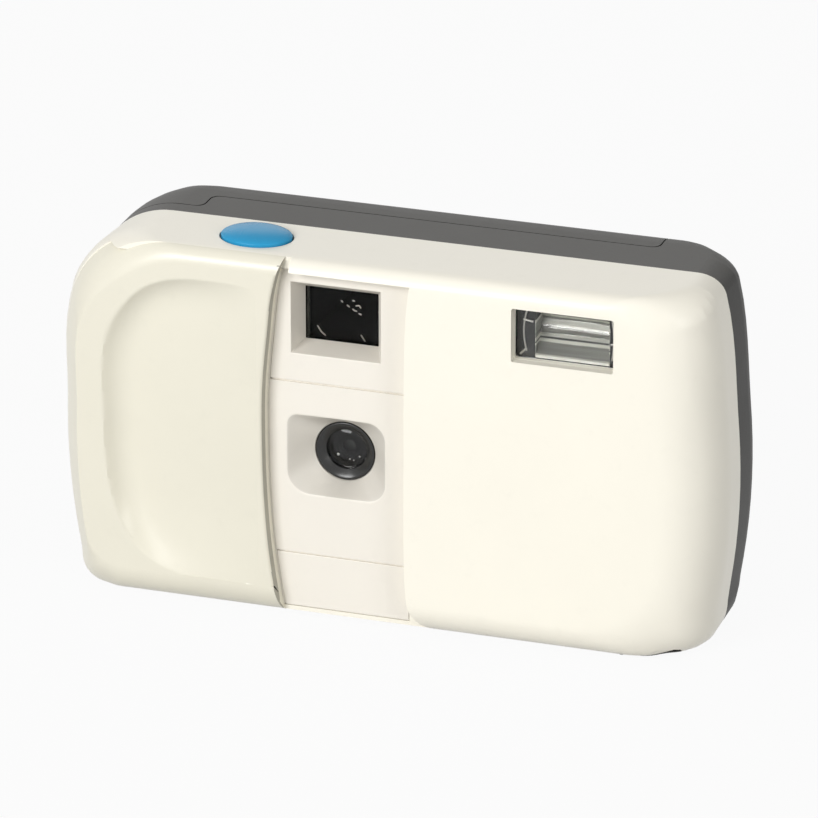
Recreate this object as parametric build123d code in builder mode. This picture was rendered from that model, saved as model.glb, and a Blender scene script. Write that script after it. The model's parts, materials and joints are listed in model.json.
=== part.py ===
from build123d import *
from math import acos, atan2, cos, degrees, pi, radians, sin, sqrt, tan
import os

# Reusable film camera, in millimetres: X to the right seen from the front, +Y to the back, +Z up.
# The origin lies in the middle of the underside. Left and right are those of someone facing the lens.

# Body
WIDTH = 118.0               # across the bowed ends
HEIGHT = 66.6               # underside to top, without the button
DEPTH = 34.5                # flash block to film door
COVER_DEPTH = 16.15         # flash block to the seam with the dark shell
PANEL_SET = 3.35            # centre panels behind the flash block
WALL = 1.8                  # covers, shell and door
THIN = 1.2                  # walls of the inner frame
BOW_R = 125.0               # bow of both ends, seen from the front
BOW_Z = 29.0                # height of the widest place
CORNER_TOP_LEFT = 14.0
CORNER_TOP_RIGHT = 4.5
CORNER_BOTTOM_RIGHT = 9.0
CORNER_BOTTOM_LEFT = 7.0
CORNER_GROWTH = 4.0         # the corners open by this much towards the front and back faces
FRONT_END_R = 11.0          # rounding of the flash block into the right end
FRONT_TOP_R = 3.0
FRONT_BOTTOM_R = 6.0
BAND_WIDTH = 4.3            # sloped band between grip face and left end
BAND_DEPTH = 7.0
BAND_CURVE = 1.35
REAR_END_R = 12.0
REAR_TOP_R = 6.0

# Clearances
SEAT = 0.1                  # between fixed mouldings
GAP = 0.25                  # between a moving piece and its opening
RUN = 0.05                  # shaft in its bearing, on the radius
JOINT_LINE = 0.3            # open line between the centre panels

# Grip, centre panels and flash block
BLOCK_X = 4.3               # left edge of the flash block
BLOCK_EDGE = ((6.0, 67.6), (5.3, 64.3), (4.65, 58.0), (4.35, 45.0), (4.3, 30.0), (4.35, 14.0), (4.6, 8.0),
              (5.4, 4.0), (7.4, 1.2), (10.5, -1.0))     # the same edge in front of the panels, as X and Z
GRIP_EDGE = ((-16.7, 67.6), (-18.0, 64.5), (-19.0, 60.8), (-20.1, 52.0), (-20.95, 43.0), (-21.1, 33.0),
             (-20.85, 23.0), (-20.05, 12.5), (-19.15, 5.8), (-17.9, -1.0))
GRIP_EDGE_MID = -21.1
BROW_LEFT = -16.1           # the brow over the panels stops short of the grip
GRIP_TOP_Z = 64.3           # line between grip and top cover, also the underside of the brow
GRIP_LIP = 2.05             # the grip's rounded top edge reaches this far back
EDGE_SLOT = 0.3             # open line between grip and panels
PANEL_T = 1.5
CHANNEL_T = 1.4             # cover wall behind the panels
PANEL_LINE_1 = 43.3         # viewfinder panel above, lens panel below
PANEL_LINE_2 = 11.5         # lens panel above, lower panel below
PANEL_FOOT = 1.4
DISH_LEFT, DISH_RIGHT, DISH_BOTTOM, DISH_TOP = -49.8, -22.0, 4.5, 60.8
DISH_DEPTH = 2.7
DISH_CORNER = 12.5

# Lens and viewfinder
LENS_X, LENS_Z = -8.6, 29.7
PAN_X, PAN_Z, PAN_W, PAN_H, PAN_R = -8.85, 30.0, 17.9, 14.8, 3.5
PAN_DEPTH = 5.0
PAN_FLOOR_W, PAN_FLOOR_H, PAN_FLOOR_R = 13.4, 12.6, 3.0
PAN_WALL = 0.8
RING_R, RING_T = 5.75, 0.9
GLASS_R = 3.7
BARREL_R = 4.9
FINDER_X, FINDER_Z, FINDER_W, FINDER_H = -8.8, 55.0, 16.05, 13.0
WINDOW_X, WINDOW_Z, WINDOW_W, WINDOW_H, WINDOW_T = -9.3, 54.25, 13.0, 9.5, 1.0
EYEPIECE_X, EYEPIECE_Z, EYEPIECE_W, EYEPIECE_H, EYEPIECE_T = -9.0, 54.5, 8.0, 5.6, 1.2
EYEPIECE_SET = 0.6          # rim of the eyepiece inside the door's surface
TUNNEL_T = 0.9

# Screws
FRAME_SCREWS = ((-30, 13), (10.5, 13), (10.5, 44), (-26, 45.5))
CASE_SCREWS = ((-5, 3.4), (14, 3.4))
BOARD_PEGS = ((18.5, 57), (46.0, 57))
SCREW_R, HEAD_R, HEAD_T = 1.05, 2.0, 1.1

# Film and its path
FILM_Y = 12.0               # film plane
GATE_W, GATE_H, GATE_T = 36.0, 24.0, 1.6
RAIL = 0.2
CARTRIDGE_X, CARTRIDGE_Y, CARTRIDGE_R, CARTRIDGE_LENGTH = 26.5, 0.0, 12.5, 44.0
CARTRIDGE_PLAY = 0.4
SPOOL_X, SPOOL_Y, SPOOL_CORE_R = -43.6, 1.3, 6.5
TAKE_R, TAKE_BOTTOM, TAKE_TOP = 10.8, 11.5, 47.8
TAKE_LEFT_END, TAKE_RIGHT_END = 6.0, -1.0
SPROCKET_X, SPROCKET_R, SPROCKET_TEETH, SPROCKET_T = -28.6, 5.9, 8, 1.4
PERFORATION_Z = 14.1        # perforations above the film's middle
GEAR_MODULE, PINION_TEETH, GEAR_TEETH, GEAR_T = 0.6, 12, 20, 1.4
THUMB_R, THUMB_T, THUMB_RIBS = 11.6, 5.0, 48
DIAL_X, DIAL_Y, DIAL_R, DIAL_Z, DIAL_T, DIAL_MARKS = -21.1, -1.5, 7.5, 4.2, 1.2, 40
SHAFT_R = 1.2
SPOOL_SHAFT_R, SPOOL_PIN_R = 2.0, 1.5
THUMB_PIN_R, THUMB_HUB_R = 1.25, 4.3
COUNTER_Y, COUNTER_R = -5.6, 2.8

# Button, lever and shutter
BUTTON_X, BUTTON_Y, BUTTON_W, BUTTON_D = -24.75, -8.3, 12.5, 10.0
BUTTON_PROUD, STEM_R = 2.0, 1.6
LEVER_X, LEVER_Z, LEVER_ARM, LEVER_T = -18.9, 55.0, 5.85, 1.1
LEVER_Y = -8.3              # back of the lever
LEVER_DROP, LEVER_PIN_R = 16.5, 0.7
BLADE_X, BLADE_Z, BLADE_R, BLADE_T = -18.5, 33.0, 3.5, 0.4
BLADE_Y = -4.8              # back of the blade

# Flash
FLASH_X, FLASH_Z, FLASH_W, FLASH_H, FLASH_SET = 32.1, 58.0, 17.8, 9.6, 1.0
REFLECTOR_DEPTH, REFLECTOR_T, TUBE_R = 6.2, 0.5, 1.2
BOARD_T = 1.6

# Power
BATTERY_X, BATTERY_Y, BATTERY_R, BATTERY_BOTTOM, BATTERY_LENGTH = 46.2, -7.4, 5.2, 4.2, 44.5
BATTERY_HOLE = 5.6          # half side of the opening under the battery
BATTERY_HINGE_X, BATTERY_HINGE_Z = 41.85, 0.9
CAP_X, CAP_Y, CAP_R, CAP_BOTTOM, CAP_LENGTH = 47.4, 6.6, 4.4, 8.0, 28.0

# Door, hinge and latch
DOOR_EDGE_Y = 7.9           # front edge of the door on the top and the underside
DOOR_RIGHT = 41.4
DOOR_STEP_X = -38.4         # where its edge steps forward to wrap the left end
DOOR_END_Y = 2.4
DOOR_CORNER_R = 1.6
HINGE_X, HINGE_Y, HINGE_R, PIN_R = -57.3, 1.6, 1.5, 0.8
HINGE_EDGE_Y = 3.5          # the door's edge stands back here, so that it can swing past the shell
HINGE_RELIEF = 2.3
HINGE_BOTTOM, HINGE_TOP, KNUCKLE = 18.0, 40.0, 4.0
PLATE_T = 1.2
LATCH_X, LATCH_Z, LATCH_TRAVEL = 44.8, 25.0, 3.0
SWITCH_Z, SWITCH_TRAVEL = 38.0, 4.0
KNOB_W, KNOB_H, KNOB_SET = 4.0, 6.0, 0.9
LAMP_Z, LAMP_R = 47.5, 1.4

# Rewind
REWIND_R, WELL_R, REWIND_SHAFT_R = 6.5, 7.2, 2.0
HANDLE_W = 4.0
RELEASE_X, RELEASE_Y, RELEASE_R = -33.0, 2.0, 2.2

# Places that follow from the sizes above
FRONT_Y = -DEPTH / 2
BACK_Y = DEPTH / 2
SEAM_Y = FRONT_Y + COVER_DEPTH
PANEL_Y = FRONT_Y + PANEL_SET
CHANNEL_Y = PANEL_Y + PANEL_T
SHELF_Y = CHANNEL_Y + CHANNEL_T
DOOR_IN = BACK_Y - WALL
TOP_IN = HEIGHT - WALL
GATE_Y = FILM_Y - RAIL
SPROCKET_Y = FILM_Y - SPROCKET_R
SPROCKET_Z = LENS_Z + PERFORATION_Z - SPROCKET_T / 2
LENS_BOARD_Y = -6.4         # back of the lens board
LIGHT_Y = -3.6              # front of the light box
PAN_Y = PANEL_Y + PAN_DEPTH
GEAR_DISTANCE = GEAR_MODULE * (PINION_TEETH + GEAR_TEETH) / 2
THUMB_Y = BACK_Y - SEAT / 2 - THUMB_R
THUMB_X = SPOOL_X + sqrt(GEAR_DISTANCE ** 2 - (THUMB_Y - SPOOL_Y) ** 2)
GEAR_Z = TAKE_TOP + THIN - SEAT / 2
DECK_Z = GEAR_Z + GEAR_T + GAP
THUMB_Z = DECK_Z + THIN + GAP
BASE_Z = 8.2
CART_BOTTOM = LENS_Z - CARTRIDGE_LENGTH / 2 - CARTRIDGE_PLAY
CART_TOP = LENS_Z + CARTRIDGE_LENGTH / 2 + CARTRIDGE_PLAY
EYEPIECE_Y = BACK_Y - EYEPIECE_SET
SHELF_Z = 57.0              # shelf that guides the button's stem
MESH_ANGLE = degrees(atan2(THUMB_Y - SPOOL_Y, THUMB_X - SPOOL_X))
GEAR_PHASE = MESH_ANGLE     # a tooth of the spool's gear points at the pinion
PINION_PHASE = MESH_ANGLE + 180 + 180 / PINION_TEETH
HANDLE_X, HANDLE_Z = CARTRIDGE_X - 5.2, 1.35
HOOK_Y = FILM_Y + 0.4
PLATE_Y = FILM_Y + 0.3
PLATE_POSTS = ((LENS_X - 16, LENS_Z - 14), (LENS_X + 16, LENS_Z - 14), (LENS_X + 16, LENS_Z + 14))
REFLECTOR_W = 16.8
REFLECTOR_BACK = FRONT_Y + WALL + 0.7 + REFLECTOR_DEPTH
TUBE_Y = REFLECTOR_BACK - 2.4
FLASH_BOARD_Y = -5.9        # back of the flash board


def at_y(y):
    """Plane for a front-view sketch in X and Z at depth y; a positive extrusion goes to the front."""
    return Plane.XZ.offset(-y)


def at_z(z):
    """Plane for a plan sketch in X and Y."""
    return Plane.XY.offset(z)


def at_x(x):
    """Plane for a side-view sketch in Y and Z; a positive extrusion goes to the right."""
    return Plane.YZ.offset(x)


def slab(x0, x1, y0, y1, z0, z1, mode=Mode.ADD):
    """Box between two corners, joined to or cut from the part being built."""
    with Locations(((x0 + x1) / 2, (y0 + y1) / 2, (z0 + z1) / 2)):
        Box(x1 - x0, y1 - y0, z1 - z0, mode=mode)


def upright(x, y, z0, z1, radius, mode=Mode.ADD):
    """Round bar or hole along Z."""
    with Locations((x, y, (z0 + z1) / 2)):
        Cylinder(radius, z1 - z0, mode=mode)


def along_y(x, z, y0, y1, radius, mode=Mode.ADD):
    """Round bar or hole along Y."""
    with Locations((x, (y0 + y1) / 2, z)):
        Cylinder(radius, y1 - y0, rotation=(90, 0, 0), mode=mode)


def end_x(z):
    """Half width of the body at height z, on the bow of the ends."""
    return WIDTH / 2 - (BOW_R - sqrt(BOW_R ** 2 - (z - BOW_Z) ** 2))


def outline(y, left, right, top, bottom, corners):
    """Front view of the body at depth y, drawn in by the given amounts, with its four rounded corners."""
    z0, z1 = bottom, HEIGHT - top
    zm = (z0 + z1) / 2
    places = [(end_x(z1) - right, z1), (end_x(z0) - right, z0), (left - end_x(z0), z0), (left - end_x(z1), z1)]
    with BuildSketch(at_y(y)) as face:
        with BuildLine():
            Line(places[2], places[1])
            ThreePointArc(places[1], (end_x(zm) - right, zm), places[0])
            Line(places[0], places[3])
            ThreePointArc(places[3], (left - end_x(zm), zm), places[2])
        make_face()
        for place, radius in zip(places, corners):
            fillet(face.vertices().sort_by_distance(Vector(*place, 0))[0], radius)
    return face.sketch


def corner_radii(opened, wall):
    """Radii of the four corners, from the top right clockwise; opened goes from 0 to 1."""
    grown = CORNER_GROWTH * opened - wall
    sizes = [CORNER_TOP_RIGHT + grown, CORNER_BOTTOM_RIGHT + grown, CORNER_BOTTOM_LEFT + grown,
             CORNER_TOP_LEFT - wall]
    return [max(size, 0.8) for size in sizes]


def rounding(depth, radius, wall):
    """Distance from the outline at this depth behind a face, round a quarter circle, for a wall's inside too."""
    if depth >= radius:
        return wall
    return radius - sqrt(max((radius - wall) ** 2 - (radius - depth) ** 2, 0))


def band(depth, wall):
    """Distance from the left end's outline to the sloped band of the grip."""
    rest = max(1 - max(depth - wall, 0) / BAND_DEPTH, 0)
    return wall + BAND_WIDTH * rest ** BAND_CURVE


def depths(radius, wall):
    """Depths of the sections round an edge, at steps of the quarter circle that shorten towards the face."""
    return [wall + (radius - wall) * (1 - sin(radians(angle))) for angle in (0, 12, 24, 35, 46, 56, 65, 74, 82, 90)]


def cover_form(wall, past_seam=0.0):
    """Front half of the body: its outside with no wall, or the hollow inside one."""
    sections = []
    for depth in depths(FRONT_END_R, wall):
        sides = [rounding(depth, radius, wall) for radius in (FRONT_END_R, FRONT_TOP_R, FRONT_BOTTOM_R)]
        opened = 1 - depth / FRONT_END_R
        sections.append(outline(FRONT_Y + depth, band(depth, wall), *sides, corner_radii(opened, wall)))
    straight = outline(SEAM_Y + past_seam, wall, wall, wall, wall, corner_radii(0, wall))
    with BuildPart() as form:
        loft(sections=sections, ruled=True)
        loft(sections=[sections[0], straight], ruled=True)
    return form.part


def rear_form(wall, past_seam=0.0):
    """Rear half of the body, made the same way."""
    sections = []
    for depth in depths(REAR_END_R, wall):
        ends = rounding(depth, REAR_END_R, wall)
        flats = rounding(depth, REAR_TOP_R, wall)
        opened = 1 - depth / REAR_END_R
        sections.append(outline(BACK_Y - depth, ends, ends, flats, flats, corner_radii(opened, wall)))
    straight = outline(SEAM_Y - past_seam, wall, wall, wall, wall, corner_radii(0, wall))
    with BuildPart() as form:
        loft(sections=sections, ruled=True)
        loft(sections=[sections[0], straight], ruled=True)
    return form.part


def beyond_edge(y, shift, side):
    """Everything left (-1) or right (1) of the grip's curved edge moved by shift, as a sketch at depth y."""
    far = side * WIDTH
    curve = [(x + shift, z) for x, z in GRIP_EDGE]
    with BuildSketch(at_y(y)) as face:
        with BuildLine():
            Spline(*curve)
            Polyline(curve[-1], (far, curve[-1][1]), (far, curve[0][1]), curve[0])
        make_face()
    return face.sketch


def window_face(y, x, z, width, height, radius=0.0):
    """Rectangle in the front view at depth y, centred at x and z, with rounded corners if a radius is given."""
    with BuildSketch(at_y(y)) as face:
        with Locations((x, z)):
            if radius > 0:
                RectangleRounded(width, height, radius)
            else:
                Rectangle(width, height)
    return face.sketch


def gear_face(z, x, y, teeth, phase):
    """Spur gear with involute flanks, thinned for backlash; phase turns the first tooth, in degrees."""
    pitch_r = GEAR_MODULE * teeth / 2
    base_r = pitch_r * cos(radians(20))
    tip_r = pitch_r + 0.8 * GEAR_MODULE
    root_r = pitch_r - 1.15 * GEAR_MODULE
    half = (pi / 2 - 0.25) / teeth
    pitch_roll = acos(base_r / pitch_r)

    def flank(r):
        """Half angle of the tooth at radius r."""
        roll = acos(min(base_r / r, 1.0))
        return half + (tan(pitch_roll) - pitch_roll) - (tan(roll) - roll)

    foot_r = max(base_r, root_r)
    radii = [foot_r, (foot_r + pitch_r) / 2, pitch_r, (pitch_r + tip_r) / 2, tip_r]
    points = []
    for tooth in range(teeth):
        middle = radians(phase) + 2 * pi * tooth / teeth
        rising = [(root_r, -flank(foot_r))] + [(r, -flank(r)) for r in radii if r > root_r]
        falling = [(r, -angle) for r, angle in reversed(rising)]
        points += [(r * cos(middle + angle), r * sin(middle + angle)) for r, angle in rising + falling]
    with BuildSketch(at_z(z)) as face:
        with BuildLine():
            Polyline(*[(x + dx, y + dy) for dx, dy in points], close=True)
        make_face()
    return face.sketch


def ribbed_face(z, x, y, ribs, radius, groove):
    """Disc with a ribbed rim."""
    points = []
    for rib in range(ribs):
        for share, r in ((0.0, radius), (0.4, radius), (0.54, radius - groove), (0.86, radius - groove)):
            angle = 2 * pi * (rib + share) / ribs
            points.append((x + r * cos(angle), y + r * sin(angle)))
    with BuildSketch(at_z(z)) as face:
        with BuildLine():
            Polyline(*points, close=True)
        make_face()
    return face.sketch


def coil(x, y, z0, z1, radius, wire, turns):
    """Wound wire of an open coil spring between two heights, on the part being built."""
    rise = z1 - z0 - 2 * wire
    with BuildLine(at_z(z0 + wire)) as path:
        Helix(rise / turns, rise, radius, center=(x, y, 0))
    edge = path.edge()
    with BuildSketch(Plane(origin=edge @ 0, z_dir=edge % 0)) as section:
        RegularPolygon(wire, 6)
    sweep(sections=section.sketch, path=edge, is_frenet=True)


def grip_zone(slack):
    """Room of the grip: left of its curved edge, in front of the channel, with a lip over the top edge."""
    with BuildPart() as zone:
        extrude(beyond_edge(CHANNEL_Y - slack, -slack, -1), amount=CHANNEL_Y - FRONT_Y + 1)
        slab(-WIDTH - 1, BLOCK_X, FRONT_Y + GRIP_LIP - slack, CHANNEL_Y + 1, GRIP_TOP_Z - slack, HEIGHT + 2,
             mode=Mode.SUBTRACT)
    return zone.part


def door_zone(slack):
    """Room of the film door in plan: the back, and all of the left end."""
    step_x, right = DOOR_STEP_X + slack, DOOR_RIGHT + slack
    end_y, edge_y = DOOR_END_Y - slack, DOOR_EDGE_Y - slack
    with BuildPart() as zone:
        with BuildSketch(at_z(-1)) as plan:
            with BuildLine():
                Polyline((-WIDTH, end_y), (step_x, end_y), (step_x, edge_y), (right, edge_y), (right, DEPTH),
                         (-WIDTH, DEPTH), close=True)
            make_face()
            for place in ((step_x, end_y), (step_x, edge_y), (right, edge_y)):
                fillet(plan.vertices().sort_by_distance(Vector(*place, 0))[0], DOOR_CORNER_R)
        extrude(amount=HEIGHT + 2)
    return zone.part


# Forms that several pieces share
cover_outside = cover_form(0)
with BuildPart() as cover_hollow:
    add(cover_form(WALL, 1.0))
    slab(-WIDTH, BLOCK_X + WALL, FRONT_Y - 1, SHELF_Y, -1, HEIGHT + 1, mode=Mode.SUBTRACT)
with BuildPart() as rear_skin:
    add(rear_form(0))
    add(rear_form(WALL, 1.0), mode=Mode.SUBTRACT)

# Front cover: flash block, top, bottom and the channel behind grip and panels
with BuildPart() as front_cover:
    add(cover_outside)
    add(cover_hollow.part, mode=Mode.SUBTRACT)
    add(grip_zone(0), mode=Mode.SUBTRACT)
    with BuildSketch(at_y(PANEL_Y)):
        with BuildLine():
            Spline(*BLOCK_EDGE)
            Polyline(BLOCK_EDGE[-1], (GRIP_EDGE_MID - 3, BLOCK_EDGE[-1][1]), (GRIP_EDGE_MID - 3, BLOCK_EDGE[0][1]),
                     BLOCK_EDGE[0])
        make_face()
        with Locations((0, GRIP_TOP_Z + HEIGHT / 2)):
            Rectangle(WIDTH, HEIGHT, mode=Mode.SUBTRACT)
    extrude(amount=PANEL_SET + 1, mode=Mode.SUBTRACT)
    slab(GRIP_EDGE_MID - 3, BROW_LEFT, FRONT_Y - 1, FRONT_Y + GRIP_LIP, GRIP_TOP_Z - 1, HEIGHT + 1,
         mode=Mode.SUBTRACT)
    slab(GRIP_EDGE_MID - 3, BLOCK_X, FRONT_Y - 1, CHANNEL_Y, PANEL_FOOT, GRIP_TOP_Z, mode=Mode.SUBTRACT)
    # Openings for the two recesses, the flash and the button
    extrude(window_face(SHELF_Y + 1, PAN_X, PAN_Z, PAN_W + 0.6, PAN_H + 0.6, PAN_R), amount=DEPTH / 4,
            mode=Mode.SUBTRACT)
    extrude(window_face(SHELF_Y + 1, FINDER_X, FINDER_Z, FINDER_W + 0.6, FINDER_H + 0.6), amount=DEPTH / 4,
            mode=Mode.SUBTRACT)
    extrude(window_face(FRONT_Y + WALL + 1, FLASH_X, FLASH_Z, FLASH_W, FLASH_H, 0.4), amount=WALL + 2,
            mode=Mode.SUBTRACT)
    with BuildSketch(at_z(TOP_IN - 1)):
        with Locations((BUTTON_X, BUTTON_Y)):
            Ellipse(BUTTON_W / 2 + GAP, BUTTON_D / 2 + GAP)
    extrude(amount=WALL + 2, mode=Mode.SUBTRACT)
    # Openings underneath
    upright(CARTRIDGE_X, CARTRIDGE_Y, -1, WALL + 1, WELL_R, mode=Mode.SUBTRACT)
    upright(DIAL_X, COUNTER_Y, -1, WALL + 1, COUNTER_R, mode=Mode.SUBTRACT)
    slab(BATTERY_X - BATTERY_HOLE + 0.2, BATTERY_X + BATTERY_HOLE, BATTERY_Y - BATTERY_HOLE,
         BATTERY_Y + BATTERY_HOLE, -1, WALL + 1, mode=Mode.SUBTRACT)
    along_y(BATTERY_HINGE_X, BATTERY_HINGE_Z, BATTERY_Y - BATTERY_HOLE - 0.45,
            BATTERY_Y + BATTERY_HOLE + 0.45, 0.5, mode=Mode.SUBTRACT)
    # Screw bosses behind the channel wall
    for x, z in FRAME_SCREWS:
        along_y(x, z, SHELF_Y - 0.5 if x < BLOCK_X else FRONT_Y + 1, LENS_BOARD_Y - THIN - SEAT, 2.3)
        along_y(x, z, LENS_BOARD_Y - THIN - 3.4, LENS_BOARD_Y, SCREW_R, mode=Mode.SUBTRACT)
    for x, z in BOARD_PEGS:
        along_y(x, z, FRONT_Y + 1, FLASH_BOARD_Y - BOARD_T, 1.8)

# Grip with its finger dish
with BuildPart() as grip_panel:
    add(cover_outside)
    add(grip_zone(SEAT / 2), mode=Mode.INTERSECT)
    dish = []
    for step, depth in enumerate((0.0, 1.35, 2.2, DISH_DEPTH)):
        left = DISH_LEFT + (0, 2.4, 5.4, 9.5)[step]
        right = DISH_RIGHT - (0, 8.0, 13.0, 17.0)[step]
        bottom = DISH_BOTTOM + (0, 5.0, 10.0, 16.0)[step]
        top = DISH_TOP - (0, 2.2, 4.8, 8.5)[step]
        corner = min(DISH_CORNER, (right - left) / 2 - 0.2)
        dish.append(window_face(FRONT_Y + depth, (left + right) / 2, (bottom + top) / 2, right - left,
                                top - bottom, corner))
    loft(sections=dish, mode=Mode.SUBTRACT)

# Centre panels
with BuildPart() as panel_blank:
    extrude(beyond_edge(CHANNEL_Y, EDGE_SLOT, 1), amount=PANEL_T)
    slab(BLOCK_X - SEAT, WIDTH + 1, FRONT_Y, DEPTH, -2, HEIGHT + 2, mode=Mode.SUBTRACT)

with BuildPart() as viewfinder_panel:
    add(panel_blank.part)
    slab(-WIDTH, WIDTH, FRONT_Y, SHELF_Y, PANEL_LINE_1 + JOINT_LINE / 2, GRIP_TOP_Z - 0.4, mode=Mode.INTERSECT)
    loft(sections=[window_face(PANEL_Y, FINDER_X, FINDER_Z, FINDER_W, FINDER_H),
                   window_face(PAN_Y, WINDOW_X, WINDOW_Z, WINDOW_W + 1.6, WINDOW_H + 1.6)], ruled=True)
    loft(sections=[window_face(PANEL_Y, FINDER_X, FINDER_Z, FINDER_W, FINDER_H),
                   window_face(PAN_Y, WINDOW_X, WINDOW_Z, WINDOW_W, WINDOW_H)], ruled=True,
         mode=Mode.SUBTRACT)

with BuildPart() as lens_panel:
    add(panel_blank.part)
    slab(-WIDTH, WIDTH, FRONT_Y, SHELF_Y, PANEL_LINE_2 + JOINT_LINE / 2, PANEL_LINE_1 - JOINT_LINE / 2,
         mode=Mode.INTERSECT)
    loft(sections=[window_face(PANEL_Y, PAN_X, PAN_Z, PAN_W, PAN_H, PAN_R),
                   window_face(PAN_Y, LENS_X, LENS_Z, PAN_FLOOR_W + 2 * PAN_WALL,
                               PAN_FLOOR_H + 2 * PAN_WALL, PAN_FLOOR_R)], ruled=True)
    extrude(window_face(PAN_Y, LENS_X, LENS_Z, PAN_FLOOR_W + 2 * PAN_WALL, PAN_FLOOR_H + 2 * PAN_WALL,
                        PAN_FLOOR_R), amount=-0.6)
    loft(sections=[window_face(PANEL_Y, PAN_X, PAN_Z, PAN_W, PAN_H, PAN_R),
                   window_face(PAN_Y, LENS_X, LENS_Z, PAN_FLOOR_W, PAN_FLOOR_H, PAN_FLOOR_R)], ruled=True,
         mode=Mode.SUBTRACT)
    along_y(LENS_X, LENS_Z, PANEL_Y, SHELF_Y + 4, BARREL_R + 0.3, mode=Mode.SUBTRACT)

with BuildPart() as lower_panel:
    add(panel_blank.part)
    slab(-WIDTH, WIDTH, FRONT_Y, SHELF_Y, PANEL_FOOT + SEAT, PANEL_LINE_2 - JOINT_LINE / 2, mode=Mode.INTERSECT)

# Lens: bezel, barrel and glass
with BuildPart() as lens_ring:
    with BuildSketch(Plane(origin=(LENS_X, 0, LENS_Z), x_dir=(1, 0, 0), z_dir=(0, 0, 1))):
        with BuildLine():
            Polyline((GLASS_R + 0.1, PAN_Y - 0.25), (RING_R - 0.9, PAN_Y - RING_T), (RING_R - 0.35, PAN_Y - RING_T),
                     (RING_R, PAN_Y - RING_T + 0.35), (RING_R, PAN_Y), (BARREL_R + 0.2, PAN_Y),
                     (BARREL_R + 0.2, PAN_Y + 0.5), (GLASS_R + 0.1, PAN_Y + 0.5), close=True)
        make_face()
    revolve(axis=Axis((LENS_X, 0, LENS_Z), (0, 1, 0)))

BARREL_Y = PAN_Y + 0.5 + SEAT
with BuildPart() as lens_barrel:
    along_y(LENS_X, LENS_Z, BARREL_Y, LENS_BOARD_Y + 1.0, BARREL_R)
    along_y(LENS_X, LENS_Z, BARREL_Y - 1, LENS_BOARD_Y - 0.4, GLASS_R + 0.05, mode=Mode.SUBTRACT)
    along_y(LENS_X, LENS_Z, BARREL_Y - 1, LENS_BOARD_Y + 2, 2.6, mode=Mode.SUBTRACT)
    along_y(LENS_X, LENS_Z, LENS_BOARD_Y + 0.2, LENS_BOARD_Y + 2, 3.0, mode=Mode.SUBTRACT)

with BuildPart() as front_lens:
    with BuildSketch(Plane(origin=(LENS_X, 0, LENS_Z), x_dir=(1, 0, 0), z_dir=(0, 0, 1))):
        with BuildLine():
            ThreePointArc((0, BARREL_Y - 0.35), (GLASS_R * 0.55, BARREL_Y - 0.2), (GLASS_R, BARREL_Y + 0.35))
            Polyline((GLASS_R, BARREL_Y + 0.35), (GLASS_R, LENS_BOARD_Y - 0.8), (0, LENS_BOARD_Y - 0.8),
                     (0, BARREL_Y - 0.35))
        make_face()
    revolve(axis=Axis((LENS_X, 0, LENS_Z), (0, 1, 0)))

with BuildPart() as aperture_disc:
    along_y(LENS_X, LENS_Z, LENS_BOARD_Y - 0.7, LENS_BOARD_Y - 0.45, GLASS_R)
    along_y(LENS_X, LENS_Z, LENS_BOARD_Y - 1, LENS_BOARD_Y, 1.1, mode=Mode.SUBTRACT)

with BuildPart() as rear_lens:
    along_y(LENS_X, LENS_Z, LENS_BOARD_Y + 0.25, LENS_BOARD_Y + 0.95, 2.95)

# Viewfinder
with BuildPart() as viewfinder_window:
    extrude(window_face(PAN_Y + WINDOW_T + SEAT, WINDOW_X, WINDOW_Z, WINDOW_W + 1.2, WINDOW_H + 1.2, 0.3),
            amount=WINDOW_T)

TUNNEL_Y = PAN_Y + WINDOW_T + 2 * SEAT
with BuildPart() as viewfinder_tunnel:
    loft(sections=[window_face(TUNNEL_Y, WINDOW_X, WINDOW_Z, WINDOW_W + 2 * TUNNEL_T, WINDOW_H + 2 * TUNNEL_T),
                   window_face(EYEPIECE_Y, EYEPIECE_X, EYEPIECE_Z, EYEPIECE_W + 2 * TUNNEL_T,
                               EYEPIECE_H + 2 * TUNNEL_T)], ruled=True)
    loft(sections=[window_face(TUNNEL_Y, WINDOW_X, WINDOW_Z, WINDOW_W, WINDOW_H),
                   window_face(EYEPIECE_Y, EYEPIECE_X, EYEPIECE_Z, EYEPIECE_W - 1, EYEPIECE_H - 1)],
         ruled=True, mode=Mode.SUBTRACT)
    extrude(window_face(EYEPIECE_Y, EYEPIECE_X, EYEPIECE_Z, EYEPIECE_W, EYEPIECE_H), amount=EYEPIECE_T + 0.6,
            mode=Mode.SUBTRACT)

with BuildPart() as eyepiece_lens:
    extrude(window_face(EYEPIECE_Y - 0.5, EYEPIECE_X, EYEPIECE_Z, EYEPIECE_W - SEAT, EYEPIECE_H - SEAT),
            amount=EYEPIECE_T)

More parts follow.
